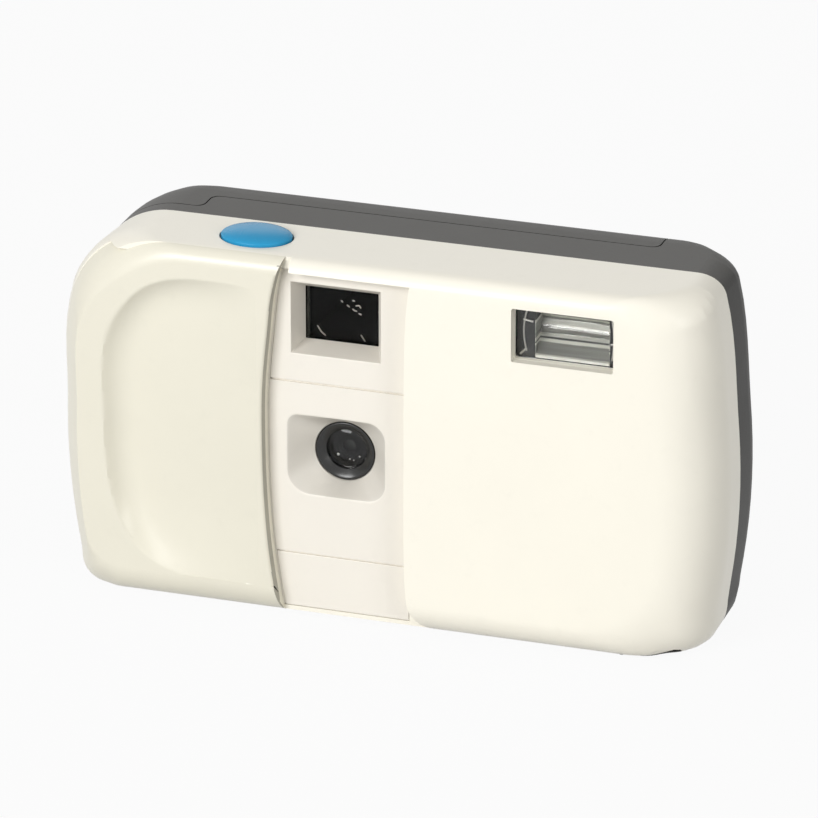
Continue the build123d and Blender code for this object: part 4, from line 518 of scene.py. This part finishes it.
def to_border(region, centre, angle, reach=90.0):
    """Points where rays from centre, at these angles, leave a region whose function is negative inside.

    Each ray's stretch is halved 40 times."""
    near, far = np.zeros_like(angle), np.full_like(angle, reach)
    for _ in range(40):
        middle = (near + far) / 2
        inside = region(centre[0] + middle * np.cos(angle), centre[1] + middle * np.sin(angle)) < 0
        near, far = np.where(inside, middle, near), np.where(inside, far, middle)
    return np.stack([centre[0] + near * np.cos(angle), centre[1] + near * np.sin(angle)], -1)


def round_box(x, z, centre, half, radius):
    """Distance from the border of a round-cornered rectangle, negative inside."""
    qx, qz = np.abs(x - centre[0]) - (half[0] - radius), np.abs(z - centre[1]) - (half[1] - radius)
    return np.hypot(np.maximum(qx, 0), np.maximum(qz, 0)) + np.minimum(np.maximum(qx, qz), 0) - radius


def settle(mesh):
    """Draws the outline as photographed: fuller at the upper ends and with tighter lower corners.

    x moves outwards by a smooth ramp of the height times one of the distance from the middle, on the right only
    ahead of the back face and on the left only ahead of the middle. A point in the quadrant of a lower corner
    moves out along its ray by 1 + TIGHTER sin(2 angle) squared."""
    points = np.empty(len(mesh.vertices) * 3)
    mesh.vertices.foreach_get("co", points)
    x, y, z = points.reshape(-1, 3).T / MM
    right = FULLER_RIGHT * smooth_step((z - 40) / 26) * smooth_step((x - 44) / 11) * (1 - smooth_step((y - 9) / 5))
    left = (FULLER_LEFT * smooth_step((z - 34) / 16) * (1 - 0.45 * smooth_step((z - 53) / 9))
            * smooth_step((-x - 44) / 10))
    x = x + right - left * smooth_step((-1.5 - y) / 6)
    for side, centre, radius in LOWER_CORNERS:
        across, down = np.maximum(side * x - centre, 0), np.maximum(radius - z, 0)
        grow = TIGHTER * np.sin(2 * np.arctan2(across, down + 1e-9)) ** 2
        x, z = x + side * across * grow, z - down * grow
    mesh.vertices.foreach_set("co", np.stack([x, y, z], -1).ravel() * MM)


def merged(mesh, *changes):
    """Merges the doubles of a mesh and lets each function in changes work on it."""
    work = bmesh.new()
    work.from_mesh(mesh)
    bmesh.ops.remove_doubles(work, verts=work.verts, dist=2e-6)
    for change in changes:
        change(work)
    work.to_mesh(mesh)
    work.free()


def turn_outwards(work):
    """Makes the faces of a closed mesh point outwards."""
    bmesh.ops.recalc_face_normals(work, faces=work.faces)


def flatten(work):
    """Joins faces that lie in one plane."""
    bmesh.ops.dissolve_limit(work, angle_limit=radians(0.3), verts=work.verts, edges=work.edges)


def dress(name, mesh, finish, body="camera", nodes=(), slot=None, sharp=38.0, bevel=0.0, changes=(turn_outwards,)):
    """Cleans a mesh, smooths it between sharp edges and gives it its finish and body; slot is not used."""
    settle(mesh)
    merged(mesh, *changes)
    mesh.shade_smooth()
    mesh.set_sharp_from_angle(angle=radians(sharp))
    made = bpy.data.objects.new(name, mesh)
    bpy.context.collection.objects.link(made)
    mesh.materials.clear()
    mesh.materials.append(FINISH[finish])
    if bevel > 0:
        edge = made.modifiers.new("edge", "BEVEL")
        edge.width, edge.segments, edge.limit_method, edge.angle_limit = bevel, 2, "ANGLE", radians(sharp)
        edge.harden_normals = True
        made.modifiers.new("normals", "WEIGHTED_NORMAL").keep_sharp = True
    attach(made, body)
    if nodes:
        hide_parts(*nodes)
    return made


def piece(name, points, blocks, finish, **dressing):
    """A mesh object from points in millimetres and blocks of faces, riding on a body and standing for nodes."""
    mesh = bpy.data.meshes.new(name)
    points = np.asarray(points, dtype=float).reshape(-1, 3) * MM
    mesh.from_pydata(points.tolist(), [], sum((np.asarray(block).tolist() for block in blocks), []))
    return dress(name, mesh, finish, **dressing)


def closed_profile(name, centre, axis, profile, finish, steps=96, **dressing):
    """A turned solid whose profile starts and ends on its axis or meets itself."""
    return piece(name, *turned(centre, axis, profile, steps), finish, **dressing)


def bright_wires(name, y, paths, radius):
    """Short bright wires, each along a line of (x, z) points at depth y."""
    for number, path in enumerate(paths):
        path = np.array(path, float)
        share = np.linspace(0, len(path) - 1, 8 * len(path))
        x, z = [np.interp(share, np.arange(len(path)), column) for column in path.T]
        piece("%s_%d" % (name, number), *wire(np.stack([x, 0 * x + y, z], -1), radius), "steel",
              slot="bright_metal")


def refinish(made, finish, chosen):
    """Gives a second finish to the faces whose centres, as x, y and z in millimetres, the function chosen picks."""
    made.data.materials.append(FINISH[finish])
    middle = np.empty(len(made.data.polygons) * 3)
    made.data.polygons.foreach_get("center", middle)
    made.data.polygons.foreach_set("material_index", chosen(*middle.reshape(-1, 3).T / MM).astype(np.int32))


def soften_block(work):
    """Rounds the flash block's left edge: where the wall that faces left meets the outer surface."""
    rim, radius = [], 1.1
    for edge in work.edges:
        middle = (edge.verts[0].co + edge.verts[1].co) / 2 / MM
        if len(edge.link_faces) == 2 and 4.0 < middle.x < 11.0 and middle.y < -14.0 and middle.z < 64.4:
            left = sorted((face.normal for face in edge.link_faces), key=lambda normal: normal.x)
            if left[0].x < -0.6 and left[0].angle(left[1]) > radians(45):
                rim.append(edge)
    bmesh.ops.bevel(work, geom=rim, offset=radius * MM, segments=6, profile=0.5, affect="EDGES", clamp_overlap=True)


def smooth_copy(node, finish, bevel, sharp):
    """A frame node's own shape as one joined surface, with flat faces merged and its edges rounded."""
    mesh = NODES[node].data.copy()
    merged(mesh, flatten, *([soften_block] if node == "front_cover" else []))
    return dress(node + "_skin", mesh, finish, BODY_OF[node], [node], sharp=sharp, bevel=bevel, changes=())


# Forms of the grip and the panels

def corner(side, top, level, end, radius, steps):
    """Quarter-round between a straight edge at this level and the bowed end, as x and z; side is -1 left, 1 right.

    It touches both, so its centre lies its radius from the edge and BOW_R less its radius from the bow's centre."""
    bow_x = side * (HALF - end - BOW_R)
    centre_z = level - radius if top else level + radius
    reach = BOW_R - radius
    centre_x = bow_x + side * np.sqrt(reach ** 2 - (centre_z - BOW_Z) ** 2)
    tangent = np.arctan2(centre_z - BOW_Z, side * (centre_x - bow_x))
    start = pi / 2 if top else -pi / 2
    angle = start + (tangent - start) * np.linspace(0, 1, steps)
    return np.stack([centre_x + side * radius * np.cos(angle), centre_z + radius * np.sin(angle)], -1)


def bow(side, end, start, stop, steps):
    """Bowed end from height start to height stop: a circle of radius BOW_R about height BOW_Z."""
    z = np.linspace(start, stop, steps)
    return np.stack([side * (HALF - end - BOW_R + np.sqrt(BOW_R ** 2 - (z - BOW_Z) ** 2)), z], -1)


def left_outline(depth, edge_top, edge_bottom):
    """Outline of the grip at one depth behind its face: along the top, round the left end and along the underside.

    The end stands back by the 1.35th power of the share of FLARE_DEPTH that is left, top and underside by their
    quarter-rounds."""
    left = max(1 - depth / FLARE_DEPTH, 0)
    end, top, bottom = 4.3 * left ** 1.35, rounding(TOP_ROUND, depth), rounding(LOW_ROUND, depth)
    upper = corner(-1, True, HIGH - top, end, 14.0 + 5.0 * left ** 1.5, 44)
    lower = corner(-1, False, bottom, end, 7.0, 26)[::-1]
    side = bow(-1, end, upper[-1, 1], lower[0, 1], 64)[1:-1]
    share = np.linspace(0, 1, 36)[:-1, None]
    first = np.array([edge_top, HIGH - top]) * (1 - share) + upper[0] * share
    last = np.array([edge_bottom, bottom]) * (1 - share) + lower[-1] * share
    return stacked([np.concatenate([first, upper, side, lower, last[::-1]])], [FRONT_Y + depth])[0]


def grip_edge(z):
    """x of the grip's curved right edge at height z: a smooth cubic between the frame's points."""
    z = np.asarray(z, float)
    knots, values = np.array(EDGE_Z), np.array(EDGE_X)
    slope = np.gradient(values, knots)
    k = np.clip(np.searchsorted(knots, z) - 1, 0, len(knots) - 2)
    width = knots[k + 1] - knots[k]
    t = (z - knots[k]) / width
    return ((1 + 2 * t) * (1 - t) ** 2 * values[k] + t * (1 - t) ** 2 * width * slope[k]
            + t * t * (3 - 2 * t) * values[k + 1] + t * t * (t - 1) * width * slope[k + 1])


def dish(x, z, depth):
    """Depth of the finger dish: a steep wall inside a superellipse's border, then a floor that falls to the left.

    The wall is a cubic of the distance to the border along the ray from the centre, eased where it starts; the
    floor deepens with the 0.8th power of the way to the left and fades smoothly towards the underside."""
    dx, dz = x - DISH_X, z - DISH_Z
    share = (np.abs(dx / DISH_REACH) ** DISH_POWER
             + np.abs(dz / np.where(dz > 0, DISH_UP, DISH_DOWN)) ** DISH_POWER) ** (1 / DISH_POWER)
    inside = np.maximum(np.hypot(dx, dz) * (1 / np.maximum(share, 1e-6) - 1), 0)
    inside = np.minimum((np.sqrt(inside ** 2 + DISH_EASE ** 2) - DISH_EASE) / DISH_WALL, 1)
    fall = np.clip((DISH_RIGHT - x) / (DISH_RIGHT - DISH_LEFT), 0, 1) ** 0.8
    return depth * (1 - (1 - inside) ** 3) * fall * smooth_step((z + 2) / 22)


def rounded_pan(x, z):
    """Distance from the pan's border: a rectangle with a small upper left corner and larger ones elsewhere."""
    left, upper = x < PAN_X, z > PAN_Z
    return round_box(x, z, (PAN_X, PAN_Z), PAN_HALF, np.where(left, np.where(upper, 2.0, 4.2), 3.4))


def flash_border(inset, angle):
    """The flash opening's border, drawn in by inset, as x and z along rays from its centre."""
    half = [size - inset for size in FLASH_HALF]
    return to_border(lambda x, z: round_box(x, z, (FLASH_X, FLASH_Z), half, FLASH_CORNER), (FLASH_X, FLASH_Z), angle)


class FILMCAM_OT_grip(bpy.types.Operator):
    """Grip with its sloped left band, curved right edge and finger dish"""
    bl_idname = "filmcam.grip"
    bl_label = "Grip"

    def execute(self, context):
        """Rings of the outline from the channel to the face, then lines from the outline across to the right edge.

        The edge is a quarter-round of the gap to it, and the strip beside it is a rectangle carried along it."""
        lip, lip_z, fillet = 2.05, 64.2, 0.6
        depths = np.concatenate([np.linspace(4.8, TOP_ROUND, 4)[:-1],
                                 TOP_ROUND * (1 - np.sin(np.linspace(0, pi / 2, 22)))])
        depths = np.sort(np.append(depths, [lip - 0.001, lip + 0.001]))[::-1]
        rings = []
        for depth in depths:
            top = HIGH - rounding(TOP_ROUND, depth) if depth < lip else lip_z
            ring = left_outline(depth, grip_edge(top), grip_edge(rounding(LOW_ROUND, depth)))
            ring[:, 2] = np.minimum(ring[:, 2], top)
            rings.append(ring)
        face = rings[-1]
        share = (1 - (1 - np.linspace(0, 1, 120)[1:]) ** 1.35)[:, None, None]
        z_edge = face[0, 2] + (face[-1, 2] - face[0, 2]) * smooth_step(np.linspace(0, 1, len(face)))
        edge = np.stack([grip_edge(z_edge), face[:, 1], z_edge], -1)
        across = face * (1 - share) + edge * share
        gap = np.maximum(grip_edge(across[..., 2]) - across[..., 0], 0)
        across[..., 1] += dish(across[..., 0], across[..., 2], context.scene.film_camera.dish_depth / MM)
        across[..., 1] += rounding(fillet, gap)
        wall = rings[0][0] + (rings[0][-1] - rings[0][0]) * np.linspace(0, 1, len(face))[:, None]
        wall[:, 0] = grip_edge(wall[:, 2])
        shaded = across[-1] * (2 / 3) + wall / 3
        shaded[:, 0], shaded[:, 1] = grip_edge(shaded[:, 2]), FRONT_Y + 2.0
        grid = np.concatenate([np.array(rings), across, shaded[None], wall[None]])
        rows, columns = grid.shape[:2]
        count, last = rows * columns, (rows - 1) * columns
        around = np.arange(columns - 1)
        back = np.stack([around, around + 1, last + around + 1, last + around], -1)
        tip = np.append(np.arange(len(depths)), [rows - 2, rows - 1]) * columns
        heel = tip + columns - 1
        points = grid.reshape(-1, 3)
        points = np.concatenate([points, [points[side].mean(0) for side in (tip, heel)]])
        grip = piece("grip", points, [grid_faces(rows, columns), back, fan(tip, count), fan(heel, count + 1)],
                     "grip", nodes=["grip_panel"], sharp=40)
        # the faces of the groove wall take the darker finish: painted shade
        refinish(grip, "groove", lambda x, y, z: (x > grip_edge(z) - 0.25) & (y > FRONT_Y + 0.35)
                 & (y < FRONT_Y + 2.5))
        height = np.linspace(1.6, 63.8, 60)
        section = np.array([(-0.02, -13.85), (0.28, -13.85), (0.28, -13.2), (-0.02, -13.2)])
        strip = np.stack([grip_edge(height)[:, None] + section[:, 0], section[:, 1] + 0 * height[:, None],
                          height[:, None] + 0 * section[:, 0]], -1)
        # the ledge takes the darker recess finish: painted shade in the groove
        piece("groove_ledge", *capped(strip), "recess", slot=SLOT_OF["grip_panel"], sharp=30)
        return {"FINISHED"}


class FILMCAM_OT_covers(bpy.types.Operator):
    """Covers, doors and inner parts: the frame's own shapes as joined surfaces with rounded edges, and seam strips"""
    bl_idname = "filmcam.covers"
    bl_label = "Covers and panels"

    def execute(self, context):
        """Seam strips and the pane's edge are rectangles carried along x, and the wires follow lines of points."""
        edge = context.scene.film_camera.edge_round
        for finish, nodes in SKINS:
            for node in nodes.split():
                fine = node in ("front_cover", "rear_shell", "film_door")
                smooth_copy(node, finish, edge if fine else edge * 0.6, 30 if fine else 34)
        # the recess faces take the darker finish: painted shade
        refinish(bpy.data.objects["viewfinder_panel_skin"], "recess", lambda x, y, z: (y > PANEL_Y + 0.1) & (
            abs(x - RECESS_X) < RECESS_HALF_X) & (abs(z - RECESS_Z) < RECESS_HALF_Z))
        panels = [place(node) for node in ("lower_panel", "lens_panel", "viewfinder_panel")]
        foot = panels[0][0][2]
        seams = [(foot - 0.28, foot)] + [(under[1][2], over[0][2]) for under, over in zip(panels, panels[1:])]
        for number, (low, high) in enumerate(seams):
            piece("seam_ledge_%d" % number, *prism(rectangle(-13.5, -12.7, low, high), float(grip_edge(low)) + 0.6,
                                                   4.15), "panel", slot=SLOT_OF["lens_panel"], sharp=30)
        bright_wires("finder_clip", -7.45, FINDER_WIRES, 0.1)
        piece("finder_pane_edge", *prism(rectangle(-7.75, -7.2, 49.2, 59.3), -15.95, -15.6), "pane",
              slot=SLOT_OF["viewfinder_window"], sharp=30)
        return {"FINISHED"}


class FILMCAM_OT_button(bpy.types.Operator):
    """Domed oval shutter button with its skirt, flange and stem"""
    bl_idname = "filmcam.button"
    bl_label = "Shutter button"

    def execute(self, context):
        """Rings of the oval: an upright skirt, then a superellipse's dome over it; the stem is a turned profile."""
        x, y, wide, deep, foot, rim = -24.75, -8.3, 6.2, 4.95, 66.0, 66.95
        crown = context.scene.film_camera.button_crown / MM + 0.7
        turn = np.linspace(0, 1, 28)[:-1] * pi / 2
        share = np.concatenate([[0.95, 1, 1, 1], np.cos(turn)])[:, None]
        dome = (1 - np.cos(turn) ** 2.4) ** 0.62
        height = np.concatenate([[foot, foot + 0.1, foot + 0.5, rim - 0.05], rim + crown * dome])
        angle = np.linspace(0, 2 * pi, 120, endpoint=False)
        rings = np.stack([x + wide * share * np.cos(angle), y + deep * share * np.sin(angle),
                          height[:, None] + 0 * angle], -1)
        piece("shutter_button_cap", *capped(rings, [[x, y, foot], [x, y, rim + crown]]), "button", body="button",
              nodes=["shutter_button"], sharp=50)
        low, seat = place("shutter_button")[0][2], place("button_spring")[1][2]
        stem = [(0, low), (1.3, low), (1.6, low + 0.3), (1.6, seat), (2.45, seat), (2.45, seat + 0.6),
                (2.3, seat + 0.65), (2.3, foot + 0.05), (0, foot + 0.05)]
        closed_profile("shutter_button_stem", (x, y, 0), "Z", stem, "button", body="button", slot="blue_plastic")
        return {"FINISHED"}


class FILMCAM_OT_lens_panel(bpy.types.Operator):
    """Middle panel with the soft bowl round the lens"""
    bl_idname = "filmcam.lens_panel"
    bl_label = "Lens panel"

    def execute(self, context):
        """Rays from the lens: panel border, rim, straight slope to the ring, its seat, and back again behind."""
        low, high = place("lens_panel")
        centre, deep, cone, thick, ease = np.array((LENS_X, LENS_Z)), 5.0, 4.2, 1.5, 0.06
        corners = [(grip_edge(z) + 0.3 if x is None else x, z) for x, z in
                   ((high[0], low[2]), (high[0], high[2]), (None, high[2]), (None, low[2]))]
        exact = [np.arctan2(z - LENS_Z, x - LENS_X) for x, z in corners]
        angle = np.sort(np.append(np.linspace(-pi, pi, 240, endpoint=False) + 0.003, exact))
        border = to_border(lambda x, z: np.maximum.reduce([grip_edge(z) + 0.3 - x, x - high[0], low[2] - z,
                                                           z - high[2]]), centre, angle)
        rim = to_border(rounded_pan, centre, angle)
        around = np.stack([np.cos(angle), np.sin(angle)], -1)
        foot, seat = [centre + radius * around for radius in (5.45, 4.85)]
        run = np.linspace(0, 1, 26)
        sink = (np.sqrt(run ** 2 + ease ** 2) - ease) / (np.sqrt(1 + ease ** 2) - ease)
        stations = [border + (rim - border) * share for share in (0, 0.06, 0.5, 0.97)]
        stations += [rim + (foot - rim) * share for share in run]
        stations += [foot, seat, seat, foot + (foot - centre) * 0.10, rim + (rim - centre) * 0.08, border, border]
        depths = [0, 0, 0, 0, *(cone * sink), deep, deep, deep + 0.6, deep + 0.6, thick, thick, 0]
        bowl = piece("lens_panel_bowl", *looped(stacked(stations, PANEL_Y + np.array(depths))), "panel",
                     nodes=["lens_panel"], sharp=35)
        # the faces inside the pan's border take the darker finish: painted shade
        refinish(bowl, "pan", lambda x, y, z: (y > PANEL_Y + 0.03) & (rounded_pan(x, z) < 0))
        return {"FINISHED"}


class FILMCAM_OT_lens(bpy.types.Operator):
    """Lens bezel, coated front glass, stepped stop and its rivets"""
    bl_idname = "filmcam.lens"
    bl_label = "Lens"

    def execute(self, context):
        """Turned profiles: the bezel's funnel deepens with the 1.15th power of its run and its outer edge is a
        quarter-ellipse; the glass has a parabola in front and a shallower one behind; the rivets are domes."""
        centre, y, back, glass_back = (LENS_X, 0, LENS_Z), -8.9, -7.2, -7.25
        turn, run = np.linspace(0, pi / 2, 7), np.linspace(0, 1, 9)
        outer = np.stack([5.05 + 0.3 * np.sin(turn), y - 0.6 - 0.3 * np.cos(turn)], -1)
        funnel = np.stack([4.85 - 1.2 * run, y - 0.84 + 0.8 * run ** 1.15], -1)
        ring = [(4.75, y + 0.5), (3.67, y + 0.5), (3.65, y + 0.02), *funnel[::-1], (4.92, y - 0.89), *outer,
                (5.35, y - 0.02), (4.75, y), (4.75, y + 0.5)]
        closed_profile("lens_bezel", centre, "Y", ring, "ring", 128, nodes=["lens_ring"], sharp=28)
        arc = np.linspace(0, 3.55, 16)
        hollow = np.linspace(3.0, 0, 9)
        glass = [*zip(arc, y - 0.42 + 0.75 * (arc / 3.55) ** 2), (3.6, y + 0.95), (3.6, glass_back),
                 (3.0, glass_back), *zip(hollow[1:], glass_back - 0.35 * (1 - (hollow[1:] / 3.0) ** 2))]
        closed_profile("front_glass", centre, "Y", glass, "lens", nodes=["front_lens"], sharp=30)
        steps = [(1.1, -7.08), (1.9, -7.08), (1.95, -7.16), (2.6, -7.16), (2.65, back), (3.68, back),
                 (3.68, -6.86), (1.1, -6.86), (1.1, -7.08)]
        closed_profile("stepped_stop", centre, "Y", steps, "baffle", nodes=["aperture_disc"], sharp=20)
        turn = np.linspace(0, pi / 2, 6)
        for number, (across, up, radius) in enumerate(RIVETS):
            rivet = [*zip(radius * np.sin(turn), -7.1 - 0.75 * radius * np.cos(turn)), (radius, -7.0), (0, -7.0)]
            closed_profile("stop_rivet_%d" % number, (LENS_X + across, 0, LENS_Z + up), "Y", rivet, "steel", 24,
                           slot="bright_metal")
        return {"FINISHED"}


class FILMCAM_OT_flash(bpy.types.Operator):
    """Flash window with its sleeve, bright reflector bent from sheet with painted bands, tube and leads"""
    bl_idname = "filmcam.flash"
    bl_label = "Flash"

    def execute(self, context):
        """The window and its sleeve are the opening's border, drawn in row by row. The reflector's section deepens
        with the 1.5th power of the height from its middle and is carried along x; the tube has round ends."""
        angle = np.linspace(0, 2 * pi, 160, endpoint=False) + 0.01
        front, back = -14.9, -14.2
        rings = stacked([flash_border(inset, angle) for inset in (0.25, 0.1, 0.03, 0.0, 0.0)],
                        (front, -14.87, -14.8, -14.7, back))
        piece("flash_front", *capped(rings, [[FLASH_X, y, FLASH_Z] for y in (front, back)]), "flash",
              nodes=["flash_window"], sharp=50)
        sleeve = ((0.0, -15.6), (0.0, -14.95), (0.0, -14.1), (-0.7, -14.1), (-0.7, -15.6), (0.0, -15.6))
        rings = stacked([flash_border(inset - 0.01, angle) for inset, _ in sleeve], [y for _, y in sleeve])
        piece("flash_sleeve", *looped(rings), "cover", slot=SLOT_OF["front_cover"], sharp=40)

        across = np.linspace(-1, 1, 49)
        mouth, end_wall = -13.9, 0.12
        inner = np.stack([-9.6 - 4.3 * np.abs(across) ** 1.5, FLASH_Z + 4.25 * across], -1)
        inner = np.concatenate([[(mouth, FLASH_Z - 4.72)], inner, [(mouth, FLASH_Z + 4.72)]])
        points, blocks = prism(np.concatenate([inner, (inner + [0.25, 0.0])[::-1]]), TROUGH_LEFT, TROUGH_RIGHT)
        piece("flash_trough", points[:-2], blocks[:1], "reflector", nodes=["flash_reflector"], sharp=30)
        cheek = [(-14.05, 53.4), (-14.05, 62.6), (-11.5, 62.15), (-8.9, 60.0), (-8.9, 56.0), (-11.5, 53.85)]
        bend = np.linspace(-1, 1, 21)
        for side, start in (("left", TROUGH_LEFT), ("right", TROUGH_RIGHT - end_wall)):
            piece("reflector_end_" + side, *prism(inner, start, start + end_wall), "reflector",
                  slot="bright_metal", sharp=30)
        for side, start, stop, lead, lean in (("left", 23.3, TROUGH_LEFT, 24.6, 0.5),
                                              ("right", TROUGH_RIGHT, 40.9, 40.2, -0.3)):
            piece("reflector_cheek_" + side, *prism(cheek, start, stop), "frame", slot="frame_plastic", sharp=30,
                  bevel=0.00012)
            path = np.stack([lead + lean * bend ** 2, 0 * bend - 14.1, FLASH_Z + 3.6 * bend], -1)
            piece("electrode_lead_" + side, *wire(path, 0.17), "steel", slot="bright_metal")
        bright_wires("flash_clip", -14.12, FLASH_WIRES, 0.19)

        low, high = place("flash_tube")
        y, z = ((low + high) / 2)[1:]
        turn = np.linspace(0, pi / 2, 6)
        tube = [(0, low[0]), *zip(0.4 + 0.8 * np.sin(turn), low[0] + 0.8 - 0.8 * np.cos(turn)),
                *zip(0.4 + 0.8 * np.cos(turn), high[0] - 0.8 + 0.8 * np.sin(turn)), (0, high[0])]
        closed_profile("flash_lamp_tube", (0, y, z), "X", tube, "tube", 40, nodes=["flash_tube"])
        return {"FINISHED"}


class FILMCAM_OT_springs(bpy.types.Operator):
    """Wound wire springs: button, rewind release and battery"""
    bl_idname = "filmcam.springs"
    bl_label = "Springs"

    def execute(self, context):
        """Helix with closed end turns: the height follows a ramp of the angle, level over 0.8 turns at each end."""
        for node, radius, thick, turns, joint, held in SPRINGS:
            low, high = place(node)
            centre = (low + high) / 2
            share = np.linspace(0, 1, turns * 36)
            rise = np.clip((share * turns - 0.8) / (turns - 1.6), 0, 1)
            height = low[2] + thick + (high[2] - low[2] - 2 * thick) * rise
            spin = 2 * pi * turns * share
            path = np.stack([centre[0] + radius * np.cos(spin), centre[1] + radius * np.sin(spin), height], -1)
            coil = piece(node + "_coil", *wire(path, thick), "steel", body=BODY_OF[node], nodes=[node])
            if joint:
                1 - TRAVEL[joint] / (high[2] - low[2]) - 0.01
                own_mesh(coil)
        return {"FINISHED"}


class FILMCAM_OT_plain_parts(bpy.types.Operator):
    """Finishes of the frame nodes that keep their own shape"""
    bl_idname = "filmcam.plain_parts"
    bl_label = "Carried-over parts"

    def execute(self, context):
        for finish, nodes in PLAIN:
            for node in nodes.split():
                mesh = NODES[node].data
                mesh.materials.clear()
                mesh.materials.append(FINISH[finish])
        return {"FINISHED"}


class FILMCAM_OT_stage(bpy.types.Operator):
    """Pale floor, soft lights and the camera at the photograph's angle"""
    bl_idname = "filmcam.stage"
    bl_label = "Stage"

    def execute(self, context):
        scene = context.scene
        mesh = bpy.data.meshes.new("floor")
        half = 3.0
        mesh.from_pydata([(-half, -half, 0), (half, -half, 0), (half, half, 0), (-half, half, 0)], [], [range(4)])
        floor = bpy.data.objects.new("floor", mesh)
        scene.collection.objects.link(floor)
        finish = Finish("pale_floor", Roughness=0.9, Base_Color=(0.5, 0.5, 0.5))
        glow = finish.node("ShaderNodeEmission", {}, {"Color": (1.0, 1.0, 1.0), "Strength": 1.0})
        both = finish.node("ShaderNodeMixShader", {}, {
            0: finish.backdrop_rays().clamped() * FLOOR_GLOW, 1: Value(finish, finish.surface.outputs[0]),
            2: glow.value(0)})
        finish.feed(finish.tree.nodes["Material Output"].inputs[0], both.value(0))
        mesh.materials.append(finish.material)

        scene.world = scene.world or bpy.data.worlds.new("World")
        scene.world.use_nodes = True
        sky = Shader(scene.world.node_tree)
        strength = sky.node("ShaderNodeMapRange", {}, {
            "Value": sky.backdrop_rays(), "To Min": AMBIENT, "To Max": 1.0}).value("Result")
        ground = sky.tree.nodes["Background"]
        sky.feed(ground.inputs["Color"], (1, 1, 1))
        sky.feed(ground.inputs["Strength"], strength)

        for name, where, wide, high, power in LAMPS:
            lamp = bpy.data.lights.new(name, "AREA")
            lamp.shape, lamp.size, lamp.size_y, lamp.energy = "RECTANGLE", wide, high, power
            made = bpy.data.objects.new(name, lamp)
            made.location = where
            made.rotation_euler = (Vector(LAMP_AIM) - Vector(where)).to_track_quat("-Z", "Y").to_euler()
            scene.collection.objects.link(made)

        toward = Vector((sin(AZIMUTH) * cos(ELEVATION), -cos(AZIMUTH) * cos(ELEVATION), sin(ELEVATION)))
        camera = bpy.data.objects.new("view", bpy.data.cameras.new("view"))
        camera.location = Vector(TARGET) + toward * DISTANCE
        camera.rotation_euler = (-toward).to_track_quat("-Z", "Y").to_euler()
        camera.data.lens, camera.data.sensor_width, camera.data.clip_start = FOCAL, SENSOR, 0.01
        camera.data.shift_x, camera.data.shift_y = SHIFT
        scene.collection.objects.link(camera)
        scene.camera = camera
        scene.view_settings.view_transform = "Standard"
        return {"FINISHED"}


class FILMCAM_PT_panel(bpy.types.Panel):
    """Sizes, colours and the operators that make the camera"""
    bl_idname = "FILMCAM_PT_panel"
    bl_label = "Film camera"
    bl_space_type = "VIEW_3D"
    bl_region_type = "UI"
    bl_category = "Film camera"

    def draw(self, context):
        looks = context.scene.film_camera
        for name in looks.bl_rna.properties.keys():
            if name not in ("rna_type", "name"):
                self.layout.prop(looks, name)
        for operator in OPERATORS:
            self.layout.operator(operator.bl_idname)


OPERATORS = (FILMCAM_OT_stage, FILMCAM_OT_covers, FILMCAM_OT_grip, FILMCAM_OT_button, FILMCAM_OT_lens,
             FILMCAM_OT_lens_panel, FILMCAM_OT_flash, FILMCAM_OT_springs, FILMCAM_OT_plain_parts)
CLASSES = (FilmCameraLooks, *OPERATORS, FILMCAM_PT_panel)


def register():
    for cls in CLASSES:
        bpy.utils.register_class(cls)
    bpy.types.Scene.film_camera = PointerProperty(type=FilmCameraLooks)


def unregister():
    del bpy.types.Scene.film_camera
    for cls in reversed(CLASSES):
        bpy.utils.unregister_class(cls)


def main():
    """Registers the classes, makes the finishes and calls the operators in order."""
    register()
    make_finishes(bpy.context.scene.film_camera)
    for operator in OPERATORS:
        group, name = operator.bl_idname.split(".")
        getattr(getattr(bpy.ops, group), name)()


if __name__ == "__main__":
    main()
